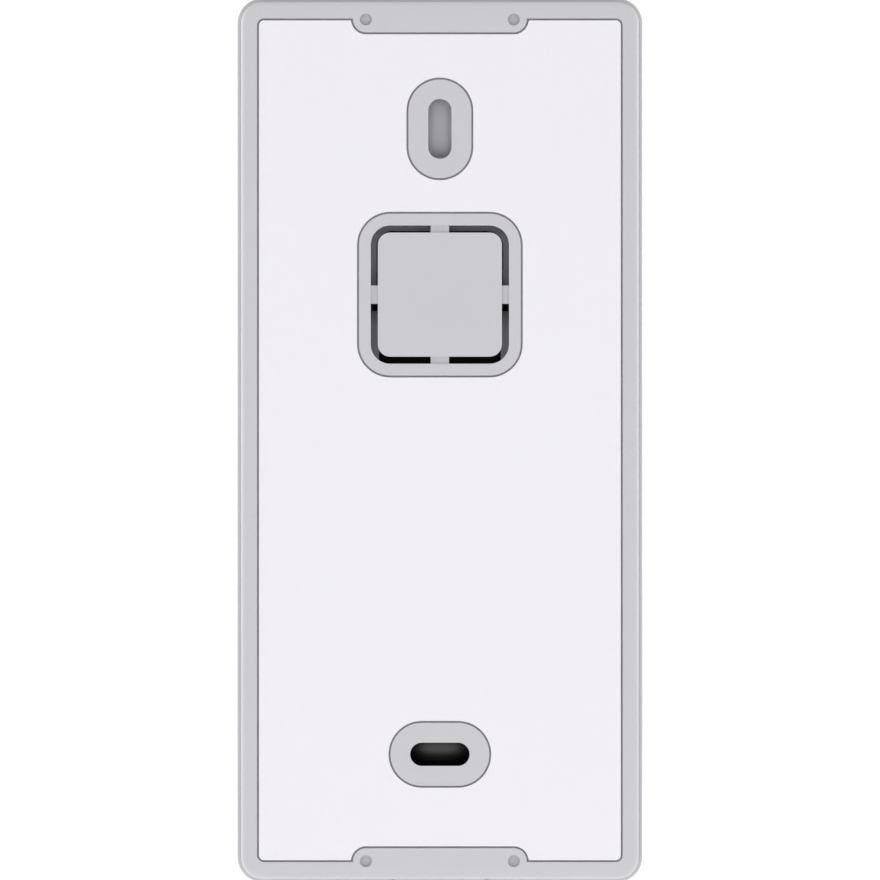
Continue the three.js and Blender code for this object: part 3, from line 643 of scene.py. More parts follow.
class Finish(Graph):
    """A material's graph, which ends in one Principled shader and follows Object coordinates."""

    def __init__(self, name: str) -> None:
        """Makes the material.

        Args:
            name: the material's name.
        """
        self.material = bpy.data.materials.new(name)
        self.material.use_nodes = True
        super().__init__(self.material.node_tree, "Object")
        self.shader = self.tree.nodes.new("ShaderNodeBsdfPrincipled")
        end = self.tree.nodes.new("ShaderNodeOutputMaterial")
        self.tree.links.new(self.shader.outputs["BSDF"], end.inputs["Surface"])

    def set(self, **values: object) -> None:
        """Sets the shader's sockets, named in lower case with underscores.

        Args:
            values: a value or a wire for each socket.
        """
        names = {socket.name.lower().replace(" ", "_"): socket for socket in self.shader.inputs}
        for key, value in values.items():
            self.plug(names[key], value)


@dataclass(frozen=True)
class Moulded:
    """Injection-moulded plastic with a fine spark-eroded grain."""

    name: str
    colour: Colour
    roughness: float = 0.45
    grain: float = 0.18 * MM
    grain_depth: float = 0.006 * MM
    mottling: float = 0.02
    gloss: float = 0.5

    def material(self) -> bpy.types.Material:
        """Builds the material."""
        graph = Finish(self.name)
        flow = graph.noise(14 * MM, 3)
        grain = graph.noise(self.grain, 2)
        dark, light = tinted(self.colour, 1 - self.mottling), tinted(self.colour, 1 + self.mottling)
        graph.set(
            base_color=graph.blend(flow * 0.6 + grain * 0.4, dark, light),
            roughness=self.roughness + (flow - 0.5) * 0.08 + (grain - 0.5) * 0.1,
            specular_ior_level=self.gloss,
            normal=graph.bump(grain, self.grain_depth),
        )
        return graph.material


@dataclass(frozen=True)
class PadSheet:
    """A closed-cell foam pad with a smooth white skin."""

    name: str
    colour: Colour
    roughness: float = 0.7
    cell: float = 0.35 * MM

    def material(self) -> bpy.types.Material:
        """Builds the material."""
        graph = Finish(self.name)
        cells = graph.cells(self.cell)
        sag = graph.noise(30 * MM, 2)
        graph.set(
            base_color=graph.blend(sag * 0.5 + cells * 0.5, self.colour, tinted(self.colour, 0.975)),
            roughness=self.roughness + cells * 0.1,
            specular_ior_level=0.25,
            normal=graph.bump(cells * 0.4 + sag * 0.6, 0.008 * MM),
        )
        return graph.material


@dataclass(frozen=True)
class PianoBlack:
    """Polished black plastic under a clear hard coat, with a faint waviness."""

    name: str
    colour: Colour
    roughness: float = 0.07

    def material(self) -> bpy.types.Material:
        """Builds the material."""
        graph = Finish(self.name)
        waves = graph.noise(9 * MM, 1)
        dust = graph.cells(2.2 * MM)
        speck = 1 - dust.step(0.02, 0.05)
        graph.set(
            base_color=graph.blend(speck * 0.35, self.colour, (0.05, 0.05, 0.05)),
            roughness=self.roughness + waves * 0.05 + speck * 0.25,
            specular_ior_level=0.1,
            coat_weight=0.7,
            coat_roughness=0.03,
            normal=graph.bump(waves, 0.004 * MM),
        )
        return graph.material


@dataclass(frozen=True)
class CoatedGlass:
    """Optical glass with a coloured anti-reflection coating."""

    name: str
    colour: Colour
    bloom: Colour
    clearness: float = 1.0

    def material(self) -> bpy.types.Material:
        """Builds the material."""
        graph = Finish(self.name)
        drift = graph.noise(6 * MM, 1)
        graph.set(
            base_color=graph.blend(drift, self.colour, self.bloom),
            roughness=0.015 + drift * 0.02,
            ior=1.52,
            transmission_weight=self.clearness,
            coat_weight=0.3,
            coat_roughness=0.02,
        )
        return graph.material


@dataclass(frozen=True)
class Metal:
    """Metal with fine drawn or turned lines and a little tarnish."""

    name: str
    colour: Colour
    roughness: float = 0.3
    streaks: Triple = (1, 12, 1)
    tarnish: float = 0.12

    def material(self) -> bpy.types.Material:
        """Builds the material."""
        graph = Finish(self.name)
        lines = graph.noise(0.5 * MM, 3, self.streaks)
        patches = graph.noise(4 * MM, 3)
        dull = tinted(self.colour, 1 - self.tarnish)
        graph.set(
            base_color=graph.blend(patches * 0.7 + lines * 0.3, self.colour, dull),
            metallic=0.95 + lines * 0.05,
            roughness=self.roughness + (lines - 0.5) * 0.15 + (patches - 0.5) * 0.1,
            normal=graph.bump(lines, 0.004 * MM),
        )
        return graph.material


@dataclass(frozen=True)
class Perforated:
    """A pressed steel sheet, painted black, with rows of round holes whose near-black colour is painted shade of
    the openings.
    """

    name: str
    pitch: float = 0.8 * MM
    hole: float = 0.33

    def material(self) -> bpy.types.Material:
        """Builds the material."""
        graph = Finish(self.name)
        holes = 1 - graph.cells(self.pitch, 0).step(self.hole, self.hole + 0.08)
        paint = graph.noise(0.3 * MM)
        graph.set(
            # painted shade: the holes are not cut, and their near-black colour stands in for the dark openings
            # behind the sheet
            base_color=graph.blend(holes, (0.06, 0.06, 0.065), (0.002, 0.002, 0.002)),
            metallic=0.0,
            roughness=0.45 + paint * 0.15 + holes * 0.3,
            normal=graph.bump(paint * 0.1 - holes, 0.05 * MM),
        )
        return graph.material


@dataclass(frozen=True)
class Elastomer:
    """Moulded rubber with a dry bloom on it."""

    name: str
    colour: Colour = (0.02, 0.02, 0.021)

    def material(self) -> bpy.types.Material:
        """Builds the material."""
        graph = Finish(self.name)
        bloom = graph.noise(1.5 * MM, 4)
        pores = graph.cells(0.25 * MM)
        pale = tuple(channel + 0.03 for channel in self.colour)
        graph.set(
            base_color=graph.blend(bloom.step(0.4, 0.9), self.colour, pale),
            roughness=0.75 + bloom * 0.2,
            specular_ior_level=0.3,
            normal=graph.bump(pores, 0.01 * MM),
        )
        return graph.material


@dataclass(frozen=True)
class Laminate:
    """Glass-cloth circuit board under solder resist, with copper showing faintly through."""

    name: str
    resist: Colour = (0.008, 0.10, 0.035)
    copper: Colour = (0.03, 0.20, 0.075)
    track: float = 1.4 * MM

    def material(self) -> bpy.types.Material:
        """Builds the material."""
        graph = Finish(self.name)
        upright = graph.node("ShaderNodeMapping", None, {"Vector": graph.place, "Rotation": (math.pi / 2, 0, 0)})
        tracks = graph.node("ShaderNodeTexBrick", {"offset": 0.5}, {
            "Vector": upright, "Scale": 1 / (4 * self.track), "Mortar Size": 0.04, "Mortar Smooth": 0.3,
        }, "Fac")
        weave = graph.noise(0.25 * MM, 1)
        graph.set(
            base_color=graph.blend(tracks * 0.8 + weave * 0.1, self.resist, self.copper),
            roughness=0.35 + weave * 0.15,
            coat_weight=0.25,
            normal=graph.bump(tracks + weave * 0.2, 0.02 * MM),
        )
        return graph.material


@dataclass(frozen=True)
class Diffuser:
    """Milky plastic that spreads light."""

    name: str
    colour: Colour
    roughness: float = 0.3
    depth: float = 0.4

    def material(self) -> bpy.types.Material:
        """Builds the material."""
        graph = Finish(self.name)
        cloud = graph.noise(3 * MM, 2)
        grain = graph.noise(0.15 * MM, 1)
        graph.set(
            base_color=graph.blend(cloud, self.colour, tinted(self.colour, 0.95)),
            roughness=self.roughness + grain * 0.1,
            subsurface_weight=self.depth,
            subsurface_radius=(1.0, 1.0, 1.0),
            subsurface_scale=0.6 * MM,
            normal=graph.bump(grain, 0.003 * MM),
        )
        return graph.material


@dataclass(frozen=True)
class Sleeve:
    """Shrink-wrapped battery sleeve."""

    name: str
    colour: Colour = (0.05, 0.07, 0.13)

    def material(self) -> bpy.types.Material:
        """Builds the material."""
        graph = Finish(self.name)
        creases = graph.noise(5 * MM, 4, (1, 1, 0.3))
        graph.set(
            base_color=graph.blend(creases, self.colour, tinted(self.colour, 1.5)),
            roughness=0.3 + creases * 0.2,
            coat_weight=0.4,
            normal=graph.bump(creases, 0.15 * MM),
        )
        return graph.material


class Palette:
    """Every finish of the doorbell, each built once."""

    def __init__(self) -> None:
        """Builds the finishes."""
        grey = (0.580, 0.574, 0.605)
        self.grey = Moulded("grey moulded plastic", grey).material()
        self.pad = PadSheet("white pad skin", (0.868, 0.853, 0.898)).material()
        dark = {"mottling": 0.15, "grain_depth": 0.003 * MM}
        self.black = Moulded("black moulded plastic", (0.006, 0.006, 0.007), 0.42, gloss=0.9, **dark).material()
        self.tray = Moulded("black tray plastic", (0.004, 0.004, 0.005), 0.55, **dark).material()
        self.gloss = PianoBlack("polished black panel", (0.004, 0.004, 0.005)).material()
        smoke = (0.012, 0.011, 0.014)
        self.smoked = Moulded("smoked lens plastic", smoke, 0.25, 0.4 * MM, gloss=0.6).material()
        self.button = Moulded("button plastic", (0.78, 0.775, 0.80), 0.38, 0.12 * MM, 0.004 * MM).material()
        self.guide = Diffuser("light ring plastic", (0.86, 0.88, 0.90)).material()
        self.led = CoatedGlass("clear diode resin", (0.85, 0.87, 0.92), (0.75, 0.78, 0.90), 0.7).material()
        self.window = CoatedGlass("window glass", (0.96, 0.97, 0.98), (0.93, 0.96, 0.97)).material()
        self.optic = CoatedGlass("coated lens glass", (0.45, 0.40, 0.75), (0.35, 0.60, 0.62), 0.85).material()
        self.steel = Metal("drawn steel", (0.60, 0.60, 0.61)).material()
        self.brass = Metal("turned brass", (0.80, 0.60, 0.28), 0.28).material()
        self.mesh = Perforated("perforated mesh").material()
        self.rubber = Elastomer("gasket rubber").material()
        self.board = Laminate("circuit board").material()
        self.sleeve = Sleeve("battery sleeve").material()


# ------------------------------------------------------------------------------------------------ pieces


@dataclass
class SubAssembly:
    """Part of the doorbell that makes its own pieces and hands them to the frame."""

    palette: Palette

    def hand_over(
        self, piece: Piece, body: Body, slot: Slot, finish: bpy.types.Material, *nodes: str
    ) -> Piece:
        """Gives a piece its finish, its body, and the CAD nodes that it stands for.

        Args:
            piece: the finished piece.
            body: the body that it rides on.
            slot: the record's slot for its finish; not used.
            finish: its material.
            nodes: the CAD nodes that it replaces.

        Returns:
            The piece.
        """
        piece.data.materials.clear()
        piece.data.materials.append(finish)
        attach(piece, body.value)
        if nodes:
            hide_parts(*nodes)
        log.info("%s: %d faces on %s", piece.name, len(piece.data.polygons), body.value)
        return piece


@dataclass
class WallBracket(SubAssembly):
    """The bracket's plate with its bosses, slots, knock-out, hooks and tongue, and the pad let into it."""

    width: float = 61.5 * MM
    height: float = 135.8 * MM
    thick: float = 2.4 * MM
    corner: float = 3.3 * MM
    rim: float = 0.5 * MM
    pad_size: Pair = (56.3 * MM, 130.27 * MM)
    pad_corner: float = 0.9 * MM
    pad_depth: float = 0.8 * MM
    groove: float = 0.3 * MM
    lug: Pair = (27.2 * MM, 4.3 * MM)
    lug_fillet: float = 0.45 * MM
    upper_boss: Pair = (10.05 * MM, 15.6 * MM)
    upper_slot: Pair = (3.6 * MM, 9.25 * MM)
    upper_z: float = 48.2 * MM
    lower_boss: Pair = (15.6 * MM, 10.05 * MM)
    lower_slot: Pair = (9.2 * MM, 3.6 * MM)
    lower_z: float = -48.6 * MM
    square: float = 25.35 * MM
    square_corner: float = 5 * MM
    square_z: float = 22.55 * MM
    slot_outer: float = 21.4 * MM
    slot_outer_corner: float = 3 * MM
    slot_inner: float = 19.2 * MM
    slot_inner_corner: float = 1.9 * MM
    bridge: float = 2.85 * MM
    bridge_sink: float = 0.4 * MM
    dot_x: float = 11.45 * MM
    dot_radius: float = 0.93 * MM
    dot_depth: float = 0.75 * MM
    flare_from: float = 0.6 * MM
    hook_x: float = 25.4 * MM
    hook_z: Pair = (46 * MM, -40 * MM)
    hook_width: float = 5.6 * MM
    hook_stem: float = 2.4 * MM
    hook_lip: float = 2.4 * MM
    hook_reach: Pair = (5.7 * MM, 7.1 * MM)
    tongue_width: float = 14 * MM
    tongue_thick: float = 2.3 * MM
    tongue_span: Pair = (1 * MM, 8.4 * MM)
    lock_y: float = -5.6 * MM
    lock_hole: float = 1.5 * MM
    lock_sink: Pair = (2.15 * MM, 1.6 * MM)
    hook_round: float = 0.6 * MM
    tongue_round: float = 0.5 * MM
    stem_root: float = 0.3 * MM
    slack: float = 0.1 * MM
    soft_edge: float = 0.09 * MM
    pad_edge: float = 0.08 * MM

    @staticmethod
    def stadium(
        name: str, size: Pair, z: float, wall_side: float, front: float, steps: int = 16
    ) -> Piece:
        """Makes a slab with fully round ends.

        Args:
            name: the piece's name.
            size: its width and height.
            z: the height of its middle.
            wall_side: y of its face on the wall's side.
            front: y of its front face.
            steps: how many faces round a quarter of each end.

        Returns:
            The slab.
        """
        return Bench.slab(name, size, min(size) / 2, wall_side, front, (0, z), steps)

    def pad_plan(self, name: str, spread: float, wall_side: float, front: float) -> Piece:
        """Makes the pad's plan, with a hole or notch round each boss and lug.

        Args:
            name: the piece's name.
            spread: how far its outline stands outside the middle of the groove.
            wall_side: y of its face on the wall's side.
            front: y of its front face.

        Returns:
            The pad's shape.
        """
        size = grown(self.pad_size, spread)
        sheet = Bench.slab(name, size, self.pad_corner + spread, wall_side, front, steps=6)
        ends = (wall_side + PAST, front - PAST)
        line = self.pad_size[1] / 2
        lug = grown(self.lug, -spread)
        square = grown((self.square,) * 2, -spread)
        islands = [
            self.stadium("lug", lug, line, *ends, 10),
            self.stadium("lug", lug, -line, *ends, 10),
            self.stadium("boss", grown(self.upper_boss, -spread), self.upper_z, *ends),
            self.stadium("boss", grown(self.lower_boss, -spread), self.lower_z, *ends),
            Bench.slab("boss", square, self.square_corner - spread, *ends, (0, self.square_z), 12),
        ]
        Bench.use(sheet, Joinery.CUT, *islands)
        edge, side = size[1] / 2, lug[0] / 2
        Bench.round_edges(
            sheet, self.lug_fillet, 5,
            lambda a, b: abs(a.y - b.y) > NUDGE
            and abs(abs(a.z) - edge) < 10 * NUDGE
            and abs(abs(a.x) - side) < 10 * NUDGE,
        )
        return sheet

    def slot_tools(self, size: Pair, z: float) -> list[Piece]:
        """Makes the tools for a screw slot that is flared for a countersunk head on its front side.

        Args:
            size: the slot's width and height at the wall.
            z: the height of its middle.

        Returns:
            The flared tool and the straight one.
        """
        start, front = self.flare_from - self.slack, self.thick + PAST
        radius = min(size) / 2 - self.slack
        ends = (size[0] / 2 - min(size) / 2, size[1] / 2 - min(size) / 2)
        narrow = grown(size, -self.slack)
        flare = self.stadium("flare", narrow, z, -start, -front)
        share = (radius + front - start) / radius
        for side in (-1, 1):
            with Bench.editing(flare, "VERT") as mesh:
                for vertex in mesh.verts:
                    along = side * (vertex.co.x * bool(ends[0]) + (vertex.co.z - z) * bool(ends[1]))
                    vertex.select_set(vertex.co.y < NUDGE - front and along > 0)
                bmesh.update_edit_mesh(flare.data)
                pivot = (side * ends[0], -front, z + side * ends[1])
                bpy.ops.transform.resize(value=(share, 1, share), center_override=pivot)
        return [flare, self.stadium("slot", size, z, PAST, -front)]

    def knockout_slots(self) -> Piece:
        """Makes the four angled slots round the knock-out, as one tool."""
        place = (0, self.square_z)
        ends = (PAST, -self.thick - PAST)
        slots = Bench.slab("slots", (self.slot_outer,) * 2, self.slot_outer_corner, *ends, place, 12)
        inner = Bench.slab(
            "inner", (self.slot_inner,) * 2, self.slot_inner_corner, 2 * PAST, -self.thick - 2 * PAST, place, 10
        )
        Bench.use(slots, Joinery.CUT, inner)
        half, reach = self.bridge / 2, self.slot_outer
        for across, up in ((half, reach), (reach, half)):
            bar = Bench.block(
                "bridge", (-across, -self.thick - 2 * PAST, self.square_z - up),
                (across, -self.bridge_sink, self.square_z + up),
            )
            Bench.use(slots, Joinery.CUT, bar)
        return slots

    def hook(self, x: float, z: float) -> Piece:
        """Makes one hook, whose lip points up.

        Args:
            x: its middle across.
            z: the middle of its stem.

        Returns:
            The hook.
        """
        left, right = x - self.hook_width / 2, x + self.hook_width / 2
        low, high = z - self.hook_stem / 2, z + self.hook_stem / 2
        inner, outer = (-reach for reach in self.hook_reach)
        hook = Bench.block("hook", (left, outer, low), (right, inner, high + self.hook_lip))
        Bench.round_edges(
            hook, self.hook_round, 4,
            lambda a, b: min(a.z, b.z) > high + NUDGE and max(a.y, b.y) < outer + NUDGE or
            abs(a.z - b.z) < NUDGE and abs(a.x - b.x) < NUDGE and a.z > high + NUDGE,
        )
        stem = Bench.block("stem", (left, inner - self.slack, low), (right, self.stem_root - self.thick, high))
        return Bench.use(hook, Joinery.ADD, stem)

    def build_plate(self) -> Piece:
        """Makes the plate."""
        node = Extent.of("bracket_plate")
        plate = Bench.slab("bracket_shell", (self.width, self.height), self.corner, 0, -self.thick, steps=14)
        Bench.round_face(plate, self.rim, 5, 0)
        Bench.round_face(plate, self.rim / 2, 3, -self.thick)
        bottom, below = node.low.z, node.low.z - PAST
        tongue = Bench.block(
            "tongue", (-self.tongue_width / 2, -self.tongue_span[1], bottom),
            (self.tongue_width / 2, -self.tongue_span[0], bottom + self.tongue_thick),
        )
        Bench.round_edges(
            tongue, self.tongue_round, 4,
            lambda a, b: abs(a.x - b.x) < NUDGE and max(a.y, b.y) < NUDGE - self.tongue_span[1],
        )
        hooks = [self.hook(side * self.hook_x, z) for z in self.hook_z for side in (-1, 1)]
        Bench.use(plate, Joinery.ADD, tongue, *hooks)
        dots = [
            Bench.disc("dot", place, self.dot_radius, PAST, -self.dot_depth, 32)
            for place in corners(self.dot_x, self.pad_size[1] / 2)
        ]
        Bench.use(
            plate, Joinery.CUT,
            self.pad_plan("recess", self.groove / 2, PAST, -self.pad_depth),
            *self.slot_tools(self.upper_slot, self.upper_z),
            *self.slot_tools(self.lower_slot, self.lower_z),
            self.knockout_slots(),
            *dots,
            Bench.rod("bore", self.lock_y, self.lock_hole, below, bottom + self.tongue_thick + PAST, 40),
            Bench.rod("sink", self.lock_y, self.lock_sink[0], below, bottom + self.lock_sink[1], 40),
        )
        return Bench.soften(plate, self.soft_edge, 2)

    def build(self) -> None:
        """Makes and hands over the plate and the pad."""
        plate = self.build_plate()
        self.hand_over(plate, Body.BRACKET, Slot.GREY_PLASTIC, self.palette.grey, "bracket_plate")
        pad = self.pad_plan("pad_sheet", -self.groove / 2, 0, -self.pad_depth)
        Bench.soften(pad, self.pad_edge)
        self.hand_over(pad, Body.BRACKET, Slot.WHITE_PAD, self.palette.pad, "backing_pad")


@dataclass
class Casing(SubAssembly):
    """The doorbell's rear and front housings, the service cover and the wiring tray."""

    corner: float = 3.9 * MM
    wall: float = 2.2 * MM
    rear_wall: float = 2.7 * MM
    front_wall: float = 2.6 * MM
    back_edge: float = 0.2 * MM
    front_edge: float = 1.8 * MM
    lip_edge: float = 0.15 * MM
    hook_x: float = 25.4 * MM
    hook_mouth: Pair = (6.2 * MM, 7 * MM)
    hook_mouth_z: Pair = (44.0 * MM, -42.0 * MM)
    hook_mouth_corner: float = 0.4 * MM
    hook_room: Pair = (9.4 * MM, 2 * MM)
    hook_block: Triple = (8.2 * MM, 11.4 * MM, 3.2 * MM)
    hook_block_corner: float = 0.5 * MM
    hook_rise: float = 1.2 * MM
    head_pocket: Pair = (10.4 * MM, 18.4 * MM)
    head_pocket_z: float = 46.8 * MM
    head_pocket_y: float = -3.3 * MM
    pocket_corner: float = 2 * MM
    crown_root: float = 0.5 * MM
    crown: Pair = (7.4 * MM, 12.2 * MM)
    crown_z: float = 48.6 * MM
    crown_y: float = -2.75 * MM
    crown_round: float = 3.1 * MM
    relief: Pair = (24.4 * MM, 24.6 * MM)
    relief_z: float = 22.7 * MM
    relief_corner: float = 1.5 * MM
    relief_step_corner: float = 1.4 * MM
    relief_y: float = -4.1 * MM
    relief_step: Pair = (-4.7 * MM, 2.9 * MM)
    wiring: Pair = (19.65 * MM, 18.9 * MM)
    wiring_z: Triple = (32.45 * MM, 21.3 * MM, 11.2 * MM)
    wiring_round: Pair = (2.4 * MM, 1.4 * MM)
    tie_notch: Triple = (2.6 * MM, 3.9 * MM, 1.9 * MM)
    tie_notch_top: float = 21.3 * MM
    tie_notch_bite: float = 0.5 * MM
    rib: Triple = (15.2 * MM, 8.8 * MM, 3.8 * MM)
    rib_place: Pair = (-3.6 * MM, -47.15 * MM)
    post_x: float = 25.4 * MM
    post_z: float = 62.4 * MM
    rear_post: float = 3 * MM
    front_post: float = 2.7 * MM
    pilot: Pair = (1.15 * MM, 6 * MM)
    root: float = 0.3 * MM
    screw_hole: float = 1.3 * MM
    screw_sink: Pair = (2.3 * MM, -4.4 * MM)
    cover_corner: float = 3 * MM
    cover_sink: float = 1.8 * MM
    cover_gap: float = 0.3 * MM
    cover_thick: float = 1 * MM
    cover_screw_x: float = 17.3 * MM
    cover_screw_z: Pair = (6.8 * MM, -54 * MM)
    cover_hole: Pair = (0.95 * MM, 2 * MM)
    cover_countersink: Pair = (1.85 * MM, 0.6 * MM)
    battery_margin: float = 1 * MM
    bay: Pair = (13.6 * MM, 12 * MM)
    bay_place: Pair = (0, -50.6 * MM)
    bay_wall: float = 0.9 * MM
    bay_corners: Pair = (1.2 * MM, 1 * MM)
    bay_mouth: Pair = (16 * MM, 15.2 * MM)
    bay_mouth_place: Pair = (0, -50.2 * MM)
    tray_wall: float = 0.9 * MM
    tray_corners: Pair = (1.2 * MM, 0.8 * MM)
    notch_width: float = 14.6 * MM
    notch_top: float = -65.9 * MM
    notch_y: float = -8.7 * MM
    insert_hole: float = 2.05 * MM
    insert_depth: float = 5.9 * MM
    insert_y: float = -5.6 * MM
    screw_block: Pair = (11.4 * MM, 8.4 * MM)
    screw_block_clear: Pair = (1.5 * MM, 1.1 * MM)
    tamper: Pair = (14 * MM, 48 * MM)
    tamper_hole: float = 1.15 * MM
    panel_gap: float = 0.3 * MM
    panel_corner: float = 7 * MM
    panel_ledge: float = 2.2 * MM
    panel_bed_floor: float = 0.1 * MM
    button_opening: float = 16.3 * MM
    grille_slots: int = 7
    grille_pitch: float = 2.6 * MM
    grille_slot: Pair = (1.2 * MM, 8 * MM)
    grille_z: float = -57 * MM
    microphone_z: float = -6 * MM
    microphone_hole: float = 0.6 * MM
    soft_edge: float = 0.08 * MM
    soft_front: float = 0.12 * MM

    def shell(self, name: str, box: Extent, inner: Pair) -> tuple[Piece, Piece]:
        """Makes a housing's outside and the tool that hollows it.

        Args:
            name: the piece's name.
            box: the housing's box.
            inner: y of the hollow's end on the wall's side, and of its front end.

        Returns:
            The solid housing and the tool.
        """
        shell = Bench.slab(name, box.plan, self.corner, box.high.y, box.low.y, steps=14)
        hollow = Bench.slab("hollow", grown(box.plan, -self.wall), self.corner - self.wall, *inner, steps=8)
        return shell, hollow

    def build_rear(self) -> Piece:
        """Makes the rear housing."""
        box = Extent.of("rear_housing")
        back, split = box.high.y, box.low.y
        inside = back - self.rear_wall
        shell, hollow = self.shell("rear_shell", box, (inside, split - PAST))
        Bench.round_face(shell, self.back_edge, 5, back)
        Bench.round_face(shell, self.lip_edge, 2, split)
        Bench.use(shell, Joinery.CUT, hollow)
        bottom = box.low.z
        half, rise = self.screw_block
        block_front, block_bottom = self.screw_block_clear
        blocks = [Bench.block(
            "screw_block", (-half, split + block_front, bottom + block_bottom),
            (half, inside + self.root, self.notch_top + rise),
        )]
        *block, block_depth = self.hook_block
        for side, level in product((-1, 1), self.hook_mouth_z):
            blocks.append(Bench.slab(
                "hook_block", block, self.hook_block_corner, inside + self.root, inside - block_depth,
                (side * self.hook_x, level + self.hook_rise), 2,
            ))
        blocks += [
            Bench.disc("post", place, self.rear_post, inside + self.root, split, 32)
            for place in corners(self.post_x, self.post_z)
        ]
        Bench.use(shell, Joinery.ADD, *blocks)
        cover = Extent.of("service_cover")
        battery = Extent.of("battery_pack")
        door = (battery.size.x + 2 * self.cover_gap, battery.size.z + 2 * self.battery_margin)
        step_y, step_height = self.relief_step
        step_z = self.relief_z + self.relief[1] / 2 - step_height / 2
        mouth_ends = (back + PAST, inside - PAST)
        tools = [
            Bench.slab(
                "cover_bed", grown(cover.plan, self.cover_gap), self.cover_corner,
                back + PAST, back - self.cover_sink, cover.mid_line, 6,
            ),
            Bench.slab("battery_door", door, self.pocket_corner, *mouth_ends, battery.mid_line, 4),
            Bench.slab("head_bay", self.bay_mouth, self.pocket_corner, *mouth_ends, self.bay_mouth_place, 4),
            Bench.slab(
                "relief", self.relief, self.relief_corner, back + PAST, self.relief_y, (0, self.relief_z), 6
            ),
            self.wiring_tool(*mouth_ends),
            Bench.slab(
                "relief_step", (self.relief[0], step_height), self.relief_step_corner, back + PAST, step_y,
                (0, step_z), 6,
            ),
            Bench.slab(
                "head_pocket", self.head_pocket, self.pocket_corner, back + PAST, self.head_pocket_y,
                (0, self.head_pocket_z), 6,
            ),
            Bench.block(
                "notch", (-self.notch_width / 2, self.notch_y, bottom - PAST),
                (self.notch_width / 2, back + PAST, self.notch_top),
            ),
            Bench.disc("tamper_hole", self.tamper, self.tamper_hole, *mouth_ends, 24),
            Bench.rod(
                "insert_seat", self.insert_y, self.insert_hole, self.notch_top - PAST,
                self.notch_top + self.insert_depth, 32,
            ),
            self.tie_notch_tool(-1),
            self.tie_notch_tool(1),
        ]
        sink, sink_floor = self.screw_sink
        for place in corners(self.post_x, self.post_z):
            tools.append(Bench.disc("screw_hole", place, self.screw_hole, back + PAST, split - PAST, 24))
            tools.append(Bench.disc("screw_sink", place, sink, back + PAST, sink_floor, 32))
        room, room_depth = self.hook_room
        for side, level in product((-1, 1), self.hook_mouth_z):
            x, corner = side * self.hook_x, self.hook_mouth_corner
            tools.append(Bench.slab("hook_mouth", self.hook_mouth, corner, *mouth_ends, (x, level), 3))
            tools.append(Bench.slab(
                "hook_room", (self.hook_mouth[0], room), corner, inside, inside - room_depth,
                (x, level + self.hook_rise), 3,
            ))
        Bench.use(shell, Joinery.CUT, *tools)
        Bench.use(shell, Joinery.ADD, self.crown_block(inside - self.crown_root))
        return Bench.soften(shell, self.soft_edge)

    def crown_block(self, front: float) -> Piece:
        """Makes the rounded crown that stands behind the upper screw slot.

        Args:
            front: y of its front end.

        Returns:
            The crown.
        """
        (width, height), z = self.crown, self.crown_z
        crown = Bench.block(
            "crown", (-width / 2, front, z - height / 2), (width / 2, self.crown_y, z + height / 2)
        )
        Bench.round_face(crown, self.crown_round, 10, self.crown_y)
        return crown

    def wiring_tool(self, wall_side: float, front: float) -> Piece:
        """Makes the tool for the wiring bay's mouth, whose upper corners are rounder.

        Args:
            wall_side: y of its end on the wall's side.
            front: y of its front end.

        Returns:
            The tool.
        """
        top, middle, bottom = self.wiring_z
        upper, lower = (width / 2 for width in self.wiring)
        tool = Bench.block("wiring", (-upper, front, middle), (upper, wall_side, top))
        Bench.round_edges(
            tool, self.wiring_round[0], 6, lambda a, b: abs(a.y - b.y) > NUDGE and a.z > top - NUDGE
        )
        rest = Bench.block("wiring_rest", (-lower, front, bottom), (lower, wall_side, middle + PAST))
        Bench.round_edges(
            rest, self.wiring_round[1], 5, lambda a, b: abs(a.y - b.y) > NUDGE and a.z < bottom + NUDGE
        )
        return Bench.use(tool, Joinery.ADD, rest)

    def tie_notch_tool(self, side: int) -> Piece:
        """Makes the wedge that cuts a cable-tie notch through the ledge round the wiring bay.

        Args:
            side: -1 or 1 for the side of the middle line.

        Returns:
            The tool.
        """
        width, length, depth = self.tie_notch
        ledge = side * (self.wiring[0] / 2 + width / 2 - self.tie_notch_bite)
        floor = self.relief_y - depth
        notch = Bench.block(
            "notch", (ledge - width / 2, floor, self.tie_notch_top - length),
            (ledge + width / 2, self.relief_y + PAST, self.tie_notch_top),
        )
        with Bench.editing(notch, "VERT") as mesh:
            for vertex in mesh.verts:
                vertex.select_set(vertex.co.y < floor + NUDGE and vertex.co.z < self.tie_notch_top - NUDGE)
            bmesh.update_edit_mesh(notch.data)
            bpy.ops.transform.translate(value=(0, self.relief_y - floor, 0))
        return notch

